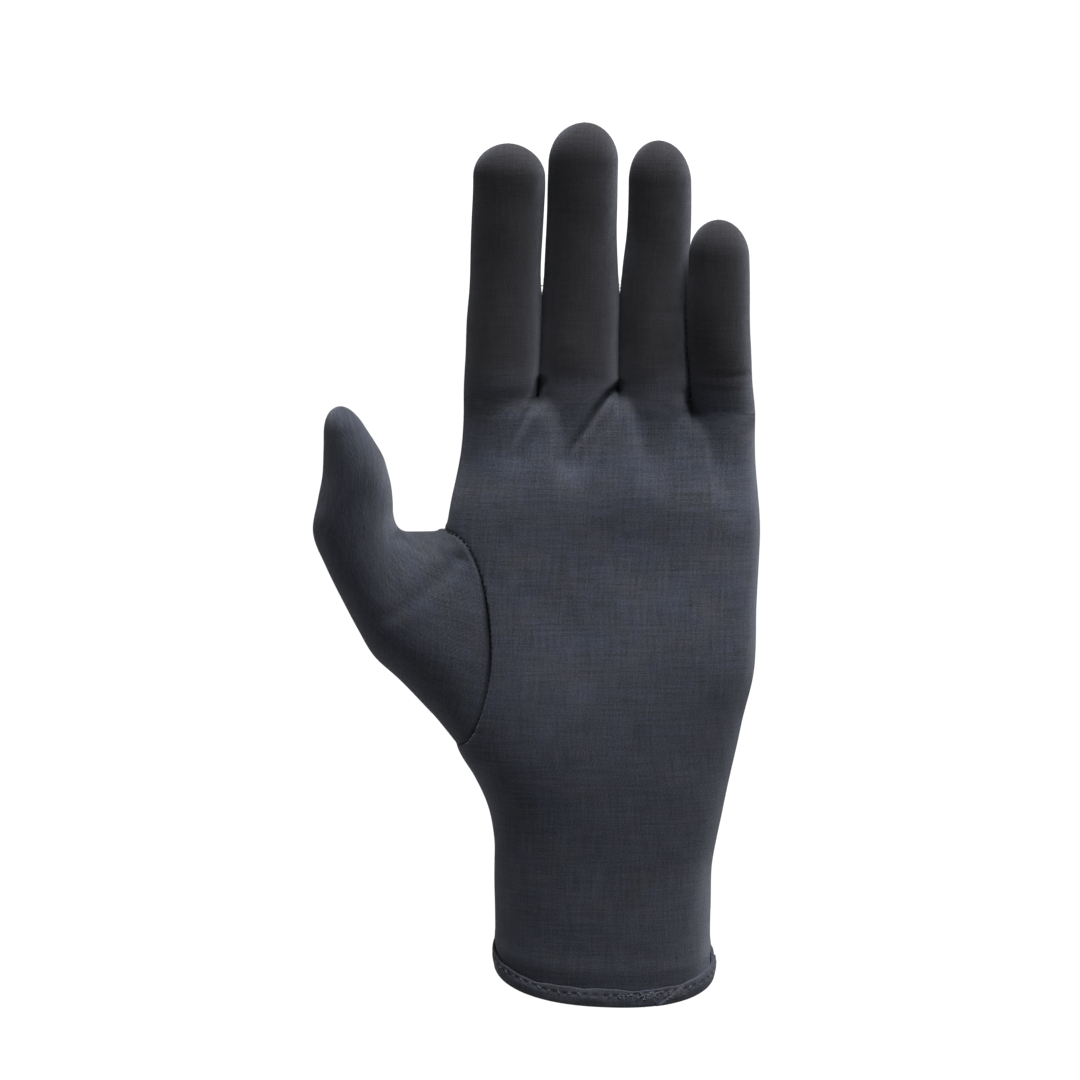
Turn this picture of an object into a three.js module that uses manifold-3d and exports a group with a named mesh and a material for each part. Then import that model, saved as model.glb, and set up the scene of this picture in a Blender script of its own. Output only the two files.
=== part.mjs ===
// A thin knitted glove liner for a left hand, filled out the way a hand fills it.
// It is cut and sewn from four pieces: the palm panel and the back panel, sewn to each other down the
// sides of the hand and of every finger, the thumb piece that is set into an oval hole at the side of
// the palm, and the binding that is folded over the wrist edge.
// Frame: +Z towards the fingertips, -Y out of the palm, +X towards the little finger, in millimetres.
// The origin is the middle of the wrist opening.
import * as THREE from "three";
import Module from "manifold-3d";

const wasm = await Module();
wasm.setup();

// Cloth
const clothThickness = 1;
const seamGap = 0.3; // between two pieces that are sewn together

// Wrist and palm
const wristWidth = 61.6;
const wristDepth = 42;
const palmWidth = 91;
const palmDepth = 29;
const palmHeight = 166; // from the wrist opening to where the fingers part
const rimDip = 7.5; // how far the wrist edge hangs lower in front of the wrist than at its sides
const rimSlant = 2.6; // how far it hangs lower on the little finger's side than on the thumb's
const rimReach = 45; // height above the wrist edge at which dip and slant have died away

// Fingers: the sizes are the middle finger's
const fingerWidth = 22.4;
const fingerDepth = 19.8;
const fingerLength = 77.3;
const fingerGap = 0.6;

// Thumb and its seam
const thumbReach = 47; // from the thumb's crotch to its tip
const thumbDepth = 21;
const seamTop = 126.5; // height of the thumb's crotch above the wrist opening
const seamHeight = 61;
const seamReachPalm = 13.5; // how far the seam runs into the palm, from the side of the hand
const seamReachBack = 7;

// Binding of the wrist edge
const bindingHeight = 4.2;
const bindingThickness = 0.8;
const bindingClearance = 0.3;

// Fineness of the surfaces
const segmentsPerFinger = 6; // across the front of one finger, and as many across its back
const palmRows = 27;
const palmCrowding = 0.45; // how much closer together the palm's rings are where the fingers part
const fingerRows = 8;
const domeRows = 4;
const thumbSegments = 24;
const thumbRows = 15;

// Sections of the wrist and palm. Up is a share of the palm's height; grow goes from the wrist's width
// at 0 to the palm's at 1, and thin from the wrist's depth to the palm's; drift is sideways, a share of
// the palm's width; forward is out of the palm, a share of its depth; square is a superellipse power.
const palmSections = [
  { up: 0.0, grow: 0.01, drift: 0.005, thin: 0.0, forward: 0.0, square: 2.3 },
  { up: 0.05, grow: 0.025, drift: 0.003, thin: 0.03, forward: 0.0, square: 2.3 },
  { up: 0.1, grow: 0.035, drift: 0.002, thin: 0.06, forward: 0.0, square: 2.3 },
  { up: 0.18, grow: 0.055, drift: 0.002, thin: 0.1, forward: 0.0, square: 2.3 },
  { up: 0.23, grow: 0.1, drift: 0.007, thin: 0.12, forward: 0.01, square: 2.35 },
  { up: 0.28, grow: 0.21, drift: 0.009, thin: 0.14, forward: 0.02, square: 2.4 },
  { up: 0.335, grow: 0.4, drift: -0.003, thin: 0.2, forward: 0.04, square: 2.5 },
  { up: 0.385, grow: 0.62, drift: -0.02, thin: 0.3, forward: 0.05, square: 2.6 },
  { up: 0.44, grow: 0.76, drift: -0.021, thin: 0.42, forward: 0.05, square: 2.7 },
  { up: 0.54, grow: 0.92, drift: -0.007, thin: 0.68, forward: 0.04, square: 2.9 },
  { up: 0.65, grow: 0.96, drift: -0.008, thin: 0.88, forward: 0.02, square: 3.0 },
  { up: 0.75, grow: 0.98, drift: -0.001, thin: 1.0, forward: 0.0, square: 3.0 },
  { up: 0.8, grow: 0.95, drift: 0.005, thin: 1.04, forward: 0.0, square: 3.0 },
  { up: 0.855, grow: 0.87, drift: 0.013, thin: 1.1, forward: -0.01, square: 2.9 },
  { up: 0.92, grow: 0.79, drift: 0.016, thin: 1.18, forward: -0.02, square: 2.8 },
  { up: 1.0, grow: 0.74, drift: 0.019, thin: 1.25, forward: -0.04, square: 2.8 },
];
const lobeStart = 0.82; // share of the palm's height at which the finger roots start to show
const grooveStart = 0.35; // how early the grooves between the roots sink in, from 0 to 1

// The fingers, from the index to the little finger. Width, depth and length are shares of the middle
// finger's; dome is the fingertip's height against half its width; rise is a share of the palm's height,
// by which the root lies higher than that on the thumb's side of the finger.
const fingerTable = [
  { name: "index", width: 0.933, depth: 0.98, length: 0.938, dome: 0.9, rise: -0.006 },
  { name: "middle", width: 1.0, depth: 1.0, length: 1.0, dome: 1.0, rise: -0.004 },
  { name: "ring", width: 0.911, depth: 0.96, length: 0.96, dome: 1.15, rise: 0.005 },
  { name: "little", width: 0.786, depth: 0.879, length: 0.715, dome: 1.2, rise: -0.028 },
];
const lastRise = -0.033; // the same on the outer side of the little finger

// Sections of the fingers. Along is a share of the finger's length; width and deep are shares of its
// width and depth; drift is sideways, a share of its width; bow is out of the palm, a share of its depth.
const fingerSections = {
  index: [
    { along: 0.0, width: 1.0, drift: 0.0, deep: 1.0, bow: 0.0 },
    { along: 0.27, width: 1.02, drift: 0.035, deep: 0.99, bow: 0.02 },
    { along: 0.5, width: 0.965, drift: 0.065, deep: 0.95, bow: 0.09 },
    { along: 0.72, width: 0.99, drift: 0.105, deep: 0.93, bow: 0.2 },
    { along: 0.86, width: 0.99, drift: 0.12, deep: 0.88, bow: 0.31 },
    { along: 1.0, width: 0.95, drift: 0.11, deep: 0.82, bow: 0.42 },
  ],
  middle: [
    { along: 0.0, width: 1.0, drift: 0.0, deep: 1.0, bow: 0.0 },
    { along: 0.13, width: 0.98, drift: 0.015, deep: 1.0, bow: 0.0 },
    { along: 0.35, width: 0.965, drift: 0.035, deep: 0.98, bow: 0.03 },
    { along: 0.57, width: 0.92, drift: 0.04, deep: 0.94, bow: 0.11 },
    { along: 0.79, width: 0.9, drift: 0.055, deep: 0.9, bow: 0.24 },
    { along: 1.0, width: 0.88, drift: 0.07, deep: 0.82, bow: 0.4 },
  ],
  ring: [
    { along: 0.0, width: 1.0, drift: 0.0, deep: 1.0, bow: 0.0 },
    { along: 0.15, width: 0.965, drift: -0.01, deep: 0.99, bow: 0.0 },
    { along: 0.45, width: 0.94, drift: -0.005, deep: 0.96, bow: 0.05 },
    { along: 0.64, width: 0.92, drift: 0.045, deep: 0.93, bow: 0.11 },
    { along: 0.83, width: 0.88, drift: 0.055, deep: 0.88, bow: 0.22 },
    { along: 1.0, width: 0.86, drift: 0.035, deep: 0.8, bow: 0.34 },
  ],
  little: [
    { along: 0.0, width: 1.0, drift: 0.0, deep: 1.0, bow: 0.0 },
    { along: 0.19, width: 1.01, drift: -0.038, deep: 0.99, bow: 0.14 },
    { along: 0.51, width: 1.03, drift: -0.095, deep: 0.95, bow: 0.34 },
    { along: 0.77, width: 1.0, drift: -0.1, deep: 0.9, bow: 0.46 },
    { along: 1.0, width: 0.96, drift: -0.115, deep: 0.84, bow: 0.58 },
  ],
};

// Sections of the thumb, each given by its two ends as the palm's side shows them: the lower end is
// measured from the bottom of the seam, and the upper end from the crotch, as shares of the thumb's
// reach (left is away from the palm). Deep and forward are shares of the thumb's depth.
const thumbSections = [
  { lowerLeft: 0.13, lowerUp: 0.16, upperLeft: 0.05, upperUp: 0.0, deep: 1.36, forward: 0.08 },
  { lowerLeft: 0.31, lowerUp: 0.36, upperLeft: 0.19, upperUp: 0.0, deep: 1.34, forward: 0.14 },
  { lowerLeft: 0.49, lowerUp: 0.53, upperLeft: 0.26, upperUp: 0.01, deep: 1.26, forward: 0.22 },
  { lowerLeft: 0.6, lowerUp: 0.72, upperLeft: 0.31, upperUp: 0.08, deep: 1.16, forward: 0.3 },
  { lowerLeft: 0.7, lowerUp: 0.92, upperLeft: 0.32, upperUp: 0.16, deep: 1.08, forward: 0.38 },
  { lowerLeft: 0.79, lowerUp: 1.11, upperLeft: 0.32, upperUp: 0.25, deep: 1.03, forward: 0.45 },
  { lowerLeft: 0.86, lowerUp: 1.31, upperLeft: 0.34, upperUp: 0.34, deep: 1.0, forward: 0.52 },
  { lowerLeft: 0.83, lowerUp: 1.51, upperLeft: 0.37, upperUp: 0.45, deep: 0.97, forward: 0.59 },
  { lowerLeft: 0.8, lowerUp: 1.67, upperLeft: 0.41, upperUp: 0.56, deep: 0.9, forward: 0.65 },
  { lowerLeft: 0.79, lowerUp: 1.82, upperLeft: 0.45, upperUp: 0.64, deep: 0.8, forward: 0.7 },
  { lowerLeft: 0.788, lowerUp: 1.92, upperLeft: 0.484, upperUp: 0.67, deep: 0.68, forward: 0.74 },
];
const thumbTip = { left: 0.635, up: 0.782, forward: 0.76 };

// Dents of the palm's front: each is a soft groove between two places. Across is a share of the hand's
// width from the thumb's side, up a share of the palm's height, reach and depth shares of its depth.
const palmDents = [
  { name: "hollow of the palm", from: [0.42, 0.6], to: [0.6, 0.72], reach: 0.6, depth: 0.07 },
  { name: "fold below index and middle", from: [0.27, 1.0], to: [0.19, 0.9], reach: 0.12, depth: 0.06 },
  { name: "fold below middle and ring", from: [0.51, 1.0], to: [0.365, 0.89], reach: 0.12, depth: 0.08 },
  { name: "fold below ring and little", from: [0.77, 0.98], to: [0.8, 0.92], reach: 0.12, depth: 0.06 },
];

const mix = (a, b, t) => a + (b - a) * t;
const clamp01 = (t) => Math.min(1, Math.max(0, t));
const smooth = (t) => clamp01(t) ** 2 * (3 - 2 * clamp01(t));
const sum = (values) => values.reduce((total, value) => total + value, 0);

// Reads one column of a table as a smooth curve of its key column.
function column(rows, key, name) {
  const at = (i) => rows[Math.min(rows.length - 1, Math.max(0, i))];
  return (t) => {
    let i = 0;
    while (i < rows.length - 2 && rows[i + 1][key] < t) i += 1;
    const [a, b, c, d] = [at(i - 1), at(i), at(i + 1), at(i + 2)];
    const span = c[key] - b[key];
    const u = clamp01((t - b[key]) / span);
    const slopeIn = ((c[name] - a[name]) / (c[key] - a[key])) * span;
    const slopeOut = ((d[name] - b[name]) / (d[key] - b[key])) * span;
    const rise = c[name] - b[name];
    const bend = slopeIn + slopeOut - 2 * rise;
    return b[name] + u * (slopeIn + u * (rise - slopeIn - bend + u * bend));
  };
}

// Every column but the key, as curves.
function curves(rows, key) {
  const names = Object.keys(rows[0]).filter((name) => name !== key);
  return Object.fromEntries(names.map((name) => [name, column(rows, key, name)]));
}

const fingers = fingerTable.map(({ name, width, depth, length, dome }) => ({
  name,
  dome,
  width: width * fingerWidth,
  depth: depth * fingerDepth,
  length: length * fingerLength,
}));

// Where the fingers leave the palm: the sideways place and height of each crotch and of both outer sides.
const rootWidths = fingers.map((finger) => finger.width + fingerGap);
const rootsWidth = sum(rootWidths);
const rootEdges = fingers.map((_, i) => sum(rootWidths.slice(0, i)) / rootsWidth).concat(1);
const rootRises = [...fingerTable.map(({ rise }) => rise), lastRise].map((rise) => rise * palmHeight);

// The finger that a share of the width belongs to, and the share of that finger's half turn.
function fingerAt(across) {
  const i = Math.min(fingers.length - 1, Math.max(0, rootEdges.findLastIndex((edge) => edge <= across)));
  const share = clamp01((across - rootEdges[i]) / (rootEdges[i + 1] - rootEdges[i]));
  return { i, turn: Math.acos(1 - 2 * share) / Math.PI, share };
}

const palm = curves(palmSections, "up");
const rootMiddle = palm.drift(1) * palmWidth;

function rootHeight(across) {
  const { i, share } = fingerAt(across);
  return palmHeight + mix(rootRises[i], rootRises[i + 1], share);
}

// How far out of the palm a finger's middle lies at its root.
const rootForward = () => palm.forward(1) * palmDepth;

// A point of the ring that the four fingers grow from. Side is -1 for the palm and 1 for the back.
function rootPoint(across, side) {
  const { i, turn } = fingerAt(across);
  const y = side * 0.5 * fingers[i].depth * Math.sin(Math.PI * turn) - rootForward();
  return new THREE.Vector3(rootMiddle + (across - 0.5) * rootsWidth, y, rootHeight(across));
}

function dentAt(x, z, width) {
  return sum(
    palmDents.map(({ from, to, reach, depth }) => {
      const start = new THREE.Vector2((from[0] - 0.5) * width, from[1] * palmHeight);
      const run = new THREE.Vector2((to[0] - 0.5) * width, to[1] * palmHeight).sub(start);
      const offset = new THREE.Vector2(x, z).sub(start);
      const t = clamp01(offset.dot(run) / run.lengthSq());
      const away = offset.sub(run.clone().multiplyScalar(t)).length();
      return depth * palmDepth * Math.exp(-((away / (reach * palmDepth)) ** 2));
    }),
  );
}

// A point of the wrist and palm: across the hand from 0 on the thumb's side to 1, and up it.
function palmPoint(across, side, up) {
  const width = mix(wristWidth, palmWidth, palm.grow(up));
  const depth = mix(wristDepth, palmDepth, palm.thin(up));
  const power = palm.square(up);
  const bulge = (1 - Math.abs(2 * across - 1) ** power) ** (1 / power);
  const x = palm.drift(up) * palmWidth + (across - 0.5) * width;
  const nearRim = (1 - clamp01((up * palmHeight) / rimReach)) ** 2;
  const hang = (side * rimDip * bulge - rimSlant * (across - 0.5)) * nearRim;
  const z = up * rootHeight(across) + hang;
  const y = side * 0.5 * depth * bulge - palm.forward(up) * palmDepth;
  const dented = side < 0 ? y + bulge * dentAt(x - palm.drift(up) * palmWidth, z, width) : y;
  const flat = new THREE.Vector3(x, dented, z);
  // The four roots part from the palm: smoothly on each finger, as an arched groove between two.
  const lobe = clamp01((up - lobeStart) / (1 - lobeStart));
  const between = 1 - Math.sin(Math.PI * fingerAt(across).turn);
  const groove = mix(1 - Math.sqrt(1 - lobe ** 2), 1, grooveStart * smooth(lobe));
  const share = mix(smooth(lobe), groove, between);
  return flat.lerp(rootPoint(across, side).setZ(z), share);
}

// A skin is a list of points and of triangles that face out. Each point lies on the palm (-1), on the
// back (1) or on the seam between the two (0).
class Skin {
  points = [];
  sides = [];
  triangles = [];

  ring(points, sides = []) {
    return points.map((point, i) => {
      this.sides.push(sides[i] ?? 0);
      return this.points.push(point) - 1;
    });
  }

  // Joins two rings with as many points each, splitting each quad along its shorter diagonal.
  join(lower, upper) {
    lower.forEach((a, i) => {
      const next = (i + 1) % lower.length;
      const [b, c, d] = [lower[next], upper[next], upper[i]];
      const [pa, pb, pc, pd] = [a, b, c, d].map((k) => this.points[k]);
      const isShorter = pa.distanceTo(pc) < pb.distanceTo(pd);
      const split = isShorter ? [[a, b, c], [a, c, d]] : [[a, b, d], [b, c, d]];
      this.triangles.push(...split.filter(([p, q, r]) => p !== q && q !== r && r !== p));
    });
  }

  close(ring, tip) {
    const [top] = this.ring([tip]);
    ring.forEach((a, i) => this.triangles.push([a, ring[(i + 1) % ring.length], top]));
  }

  geometry() {
    const geometry = new THREE.BufferGeometry().setFromPoints(this.points);
    geometry.setIndex(this.triangles.flat());
    geometry.computeVertexNormals();
    return geometry;
  }

  // The closed wall between one side of this skin and the same moved in by the cloth's thickness, with a
  // cut edge wherever that side ends. Where `outward` holds a point's way out, the edge stands square to
  // what it is sewn to. Along the seam the two sides stand a gap apart.
  shell(outward, side = 0) {
    const normals = this.geometry().getAttribute("normal");
    const apart = new THREE.Vector3(0, 0.5 * side * seamGap, 0);
    const outer = this.points.map((point, i) => (this.sides[i] === 0 ? point.clone().add(apart) : point));
    const inner = outer.map((point, i) => {
      const way = outward.get(i) ?? new THREE.Vector3().fromBufferAttribute(normals, i);
      return point.clone().addScaledVector(way, -clothThickness);
    });
    const sideOf = (corners) => Math.sign(sum(corners.map((i) => this.sides[i])));
    const kept = this.triangles.filter((corners) => sideOf(corners) === side);
    const edges = kept.flatMap(([a, b, c]) => [[a, b], [b, c], [c, a]]);
    const used = new Set(edges.map(([a, b]) => `${a} ${b}`));
    const cut = edges.filter(([a, b]) => !used.has(`${b} ${a}`));
    const below = this.points.length;
    // Both sides split the quads of their common seam along the same diagonals.
    const edgeQuad = ([a, b]) => {
      const fold = a < b ? [b, a + below] : [a, b + below];
      return [[b, a, fold[1]], [fold[0], a + below, b + below]];
    };
    const wall = new Skin();
    wall.points = outer.concat(inner);
    wall.triangles = kept.concat(
      kept.map(([a, b, c]) => [c + below, b + below, a + below]),
      cut.flatMap(edgeQuad),
    );
    return wall;
  }

  solid() {
    const vertProperties = new Float32Array(this.points.flatMap((point) => point.toArray()));
    return new wasm.Manifold(
      new wasm.Mesh({ numProp: 3, vertProperties, triVerts: new Uint32Array(this.triangles.flat()) }),
    );
  }
}

// The columns of the palm's rings: across the front from the thumb's side, and back across the back.
const half = segmentsPerFinger * fingers.length;
const ringColumns = Array.from({ length: 2 * half }, (_, i) => {
  const step = i <= half ? i : 2 * half - i;
  const finger = Math.min(fingers.length - 1, Math.floor(step / segmentsPerFinger));
  const turn = (step - finger * segmentsPerFinger) / segmentsPerFinger;
  const share = (1 - Math.cos(Math.PI * turn)) / 2;
  return { across: mix(rootEdges[finger], rootEdges[finger + 1], share), side: i <= half ? -1 : 1 };
});

// The side of each point of a closed ring whose seams are `span` points apart.
const ringSides = (count, span) =>
  Array.from({ length: count }, (_, i) => (i % span === 0 ? 0 : Math.sign(i - 0.5 * count)));

// Heights of the palm's rings, closer together where the fingers part.
const palmRing = (row) => mix(row / palmRows, Math.sin((0.5 * Math.PI * row) / palmRows), palmCrowding);

function fingerRings(skin, index, root) {
  const finger = fingers[index];
  const section = curves(fingerSections[finger.name], "along");
  const domeStart = 1 - (0.5 * finger.dome * finger.width) / finger.length;
  const rows = Array.from({ length: fingerRows }, (_, row) => (domeStart * (row + 1)) / fingerRows);
  const dome = Array.from({ length: domeRows - 1 }, (_, row) =>
    mix(domeStart, 1, Math.sin((0.5 * Math.PI * (row + 1)) / domeRows)),
  );
  const middle = rootMiddle + (mix(rootEdges[index], rootEdges[index + 1], 0.5) - 0.5) * rootsWidth;
  const rootTop = palmHeight + 0.5 * (rootRises[index] + rootRises[index + 1]);
  const axisPoint = (along) =>
    new THREE.Vector3(
      middle + section.drift(along) * finger.width,
      -rootForward() - section.bow(along) * finger.depth,
      rootTop + along * finger.length,
    );
  let ring = root;
  for (const along of rows.concat(dome)) {
    const close = Math.sqrt(1 - clamp01((along - domeStart) / (1 - domeStart)) ** 2);
    const centre = axisPoint(along);
    const points = root.map((corner, i) => {
      const angle = (Math.PI * i) / segmentsPerFinger;
      const x = centre.x - 0.5 * finger.width * section.width(along) * close * Math.cos(angle);
      const y = centre.y - 0.5 * finger.depth * section.deep(along) * close * Math.sin(angle);
      const slant = (skin.points[corner].z - rootTop) * (1 - along / domeStart);
      return new THREE.Vector3(x, y, centre.z + Math.max(0, 1 - along / domeStart) * slant);
    });
    const next = skin.ring(points, ringSides(points.length, segmentsPerFinger));
    skin.join(ring, next);
    ring = next;
  }
  skin.close(ring, axisPoint(1));
}

// The level way out of the wrist at a column of its edge.
function rimOutward(i) {
  const edgePoint = (k) => {
    const { across, side } = ringColumns[(k + ringColumns.length) % ringColumns.length];
    return palmPoint(across, side, 0);
  };
  const along = edgePoint(i + 1).sub(edgePoint(i - 1));
  return new THREE.Vector3(along.y, -along.x, 0).normalize();
}

function handSkin() {
  const skin = new Skin();
  const sides = ringSides(2 * half, half);
  const palmRingAt = (up) =>
    skin.ring(ringColumns.map(({ across, side }) => palmPoint(across, side, up)), sides);
  const rim = palmRingAt(0);
  let ring = rim;
  for (let row = 1; row < palmRows; row += 1) {
    const next = palmRingAt(palmRing(row));
    skin.join(ring, next);
    ring = next;
  }
  // In the top ring the palm's and the back's point of each crotch are one.
  const topSides = ringSides(2 * half, segmentsPerFinger);
  const top = [];
  ringColumns.forEach(({ across, side }, i) => {
    const isBackOfCrotch = i > half && i % segmentsPerFinger === 0;
    top.push(isBackOfCrotch ? top[2 * half - i] : skin.ring([palmPoint(across, side, 1)], [topSides[i]])[0]);
  });
  skin.join(ring, top);
  fingers.forEach((_, index) => {
    const from = index * segmentsPerFinger;
    const to = from + segmentsPerFinger;
    const front = top.slice(from, to + 1);
    const back = top.slice(2 * half - to + 1, 2 * half - from);
    fingerRings(skin, index, front.concat(back));
  });
  // The way out is level at the wrist edge and straight up in the crotches.
  const outward = new Map(rim.map((point, i) => [point, rimOutward(i)]));
  const crotches = top.slice(1, half).filter((_, i) => (i + 1) % segmentsPerFinger === 0);
  crotches.forEach((point) => outward.set(point, new THREE.Vector3(0, 0, 1)));
  return { skin, outward };
}

// The seam of the thumb's hole: an oval around the side of the hand, made wider all round by `wider`.
// Its turn runs from the crotch over the back to the bottom, and back up over the palm.
function seamPoint(turn, wider = 0) {
  const tall = 0.5 * seamHeight + wider;
  const side = Math.sin(turn) > 0 ? 1 : -1;
  const reach = (side > 0 ? seamReachBack : seamReachPalm) + wider;
  const z = seamTop - 0.5 * seamHeight + tall * Math.cos(turn);
  const across = (reach * Math.abs(Math.sin(turn))) / palmWidth;
  return palmPoint(across, side, z / rootHeight(across));
}

// The way out of the hand at the seam.
const seamOutward = (turn) => new THREE.Vector3(-Math.abs(Math.cos(turn)), Math.sin(turn), 0).normalize();

const seamTurns = Array.from({ length: thumbSegments }, (_, i) => (2 * Math.PI * i) / thumbSegments);

function thumbSkin() {
  const crotch = seamPoint(0);
  const bottom = seamPoint(Math.PI);
  const rows = thumbSections.map((row, i) => ({ place: (i + 1) / thumbSections.length, ...row }));
  const section = curves(rows, "place");
  const fromSeam = rows[0].place;
  const leftAndUp = (from, left, up, forward) =>
    new THREE.Vector3(from.x - left * thumbReach, -forward * thumbDepth, from.z + up * thumbReach);
  const sectionPoint = (place, turn) => {
    const forward = section.forward(place);
    const lower = leftAndUp(bottom, section.lowerLeft(place), section.lowerUp(place), forward);
    const upper = leftAndUp(crotch, section.upperLeft(place), section.upperUp(place), forward);
    const deep = new THREE.Vector3(0, 0.5 * section.deep(place) * thumbDepth * Math.sin(turn), 0);
    return lower.lerp(upper, 0.5 + 0.5 * Math.cos(turn)).setY(-forward * thumbDepth).add(deep);
  };
  const skin = new Skin();
  const rim = skin.ring(seamTurns.map((turn) => seamPoint(turn)));
  let ring = rim;
  for (let row = 1; row <= thumbRows; row += 1) {
    const place = Math.max(row / thumbRows, fromSeam);
    const blend = clamp01(row / thumbRows / fromSeam);
    const next = skin.ring(seamTurns.map((turn) => seamPoint(turn).lerp(sectionPoint(place, turn), blend)));
    skin.join(ring, next);
    ring = next;
  }
  const last = ring.map((point) => skin.points[point]);
  const middle = new THREE.Vector3();
  last.forEach((point) => middle.addScaledVector(point, 1 / last.length));
  const tip = leftAndUp(crotch, thumbTip.left, thumbTip.up, thumbTip.forward);
  for (let row = 1; row < domeRows; row += 1) {
    const angle = (0.5 * Math.PI * row) / domeRows;
    const centre = middle.clone().lerp(tip, Math.sin(angle));
    const dome = last.map((point) => point.clone().sub(middle).multiplyScalar(Math.cos(angle)).add(centre));
    const next = skin.ring(dome);
    skin.join(ring, next);
    ring = next;
  }
  skin.close(ring, tip);
  return { skin, outward: new Map(rim.map((point, i) => [point, seamOutward(seamTurns[i])])) };
}

// A plug through the hand's wall, as wide as the seam and the gap around it.
function holePlug(handle) {
  const reach = 3 * clothThickness;
  const plug = new Skin();
  const ringAt = (level) =>
    plug.ring(seamTurns.map((turn) => seamPoint(turn, seamGap).addScaledVector(seamOutward(turn), level)));
  const rings = [-reach, -clothThickness, 0, reach].map(ringAt);
  rings.slice(1).forEach((ring, i) => plug.join(rings[i], ring));
  const middle = seamPoint(0).setZ(seamTop - 0.5 * seamHeight);
  plug.close(rings.at(-1), middle.clone().add(new THREE.Vector3(-handle, 0, 0)));
  plug.close([...rings[0]].reverse(), middle.clone().add(new THREE.Vector3(handle, 0, 0)));
  return plug.solid();
}

// The binding is a strip folded over the wrist edge: an outer leaf, the fold and an inner leaf.
function bindingSkin() {
  const out = bindingClearance + bindingThickness;
  const under = -clothThickness - bindingClearance;
  const top = bindingHeight;
  const floor = -bindingClearance;
  const round = Math.sin(Math.PI / 3) * bindingThickness;
  const profile = [
    { out: bindingClearance, up: floor },
    { out: bindingClearance, up: top },
    { out, up: top },
    { out, up: floor },
    { out: out - 0.5 * bindingThickness, up: floor - round },
    { out: -0.5 * clothThickness, up: floor - bindingThickness },
    { out: under - 0.5 * bindingThickness, up: floor - round },
    { out: under - bindingThickness, up: floor },
    { out: under - bindingThickness, up: top },
    { out: under, up: top },
    { out: under, up: floor },
  ];
  const skin = new Skin();
  const rings = profile.map(({ out: offset, up }) =>
    skin.ring(
      ringColumns.map(({ across, side }, i) => {
        const wall = palmPoint(across, side, Math.max(0, up) / palmHeight);
        return wall.addScaledVector(rimOutward(i), offset).setZ(palmPoint(across, side, 0).z + up);
      }),
    ),
  );
  rings.forEach((ring, i) => skin.join(rings[(i + 1) % rings.length], ring));
  return skin;
}

const clothColour = new THREE.Color(0.052, 0.055, 0.065);
const cloth = new THREE.MeshStandardMaterial({ color: clothColour, roughness: 0.9, metalness: 0 });
const bindingCloth = new THREE.MeshStandardMaterial({ color: clothColour, roughness: 0.85, metalness: 0 });

function mesh(name, solid, material) {
  const made = solid.getMesh();
  const geometry = new THREE.BufferGeometry();
  geometry.setAttribute("position", new THREE.BufferAttribute(made.vertProperties, made.numProp));
  geometry.setIndex(new THREE.BufferAttribute(made.triVerts, 1));
  geometry.computeVertexNormals();
  const part = new THREE.Mesh(geometry, material);
  part.name = name;
  return part;
}

const glove = new THREE.Group();
const hand = handSkin();
const thumb = thumbSkin();
const plug = holePlug(2 * seamReachPalm);
glove.add(
  mesh("palm_panel", hand.skin.shell(hand.outward, -1).solid().subtract(plug), cloth),
  mesh("back_panel", hand.skin.shell(hand.outward, 1).solid().subtract(plug), cloth),
  mesh("thumb_piece", thumb.skin.shell(thumb.outward).solid(), cloth),
  mesh("wrist_binding", bindingSkin().solid(), bindingCloth),
);

export default glove;
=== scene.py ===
import math

import bpy
import numpy as np
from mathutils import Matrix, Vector


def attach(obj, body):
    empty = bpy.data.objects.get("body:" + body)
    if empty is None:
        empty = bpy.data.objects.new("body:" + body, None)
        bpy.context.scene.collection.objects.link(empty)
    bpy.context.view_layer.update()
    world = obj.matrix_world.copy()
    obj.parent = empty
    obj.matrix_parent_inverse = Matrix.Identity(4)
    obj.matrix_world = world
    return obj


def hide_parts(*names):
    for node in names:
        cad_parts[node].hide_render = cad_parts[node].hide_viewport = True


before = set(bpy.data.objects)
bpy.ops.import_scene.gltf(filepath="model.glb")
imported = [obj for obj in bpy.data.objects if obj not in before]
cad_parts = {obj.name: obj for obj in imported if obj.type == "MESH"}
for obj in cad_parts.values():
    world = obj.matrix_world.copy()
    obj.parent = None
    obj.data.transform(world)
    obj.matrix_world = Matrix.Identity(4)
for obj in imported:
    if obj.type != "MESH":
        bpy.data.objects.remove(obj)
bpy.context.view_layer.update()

MM = 0.001

# Cloth and seams
CLOTH_THICKNESS = 1.0
SEAM_GAP = 0.1
WALE = 0.72        # width of one column of knitted loops
COURSE = 0.6       # height of one row of loops
EDGE_ROLL = 0.3    # how deep a sewn edge rolls in, and over what length
EDGE_REACH = 0.5
ROLL_START = 4.0   # length above a crotch over which the roll sets in
# Height, place and width of the lip beside a rolled edge and beside a fold, as shares
EDGE_LIP = (0.18, 2.6, 1.2)
FOLD_LIP = (0.06, 2.1, 1.1)
# The normal's y at which the palm's own relief starts, and at which it is full
EDGE_ON, FACING = 0.1, -0.3
# Where the patterns of the back, the thumb and the binding start, so that no two pieces show the same knit
BACK_PATTERN, THUMB_PATTERN, BINDING_PATTERN = 300.0, 600.0, 900.0

# Wrist and palm
WRIST_WIDTH = 61.6
WRIST_DEPTH = 42.0
PALM_WIDTH = 91.0
PALM_DEPTH = 29.0
PALM_HEIGHT = 166.0
RIM_DIP = 7.5
RIM_SLANT = 2.6
RIM_REACH = 45.0

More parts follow.
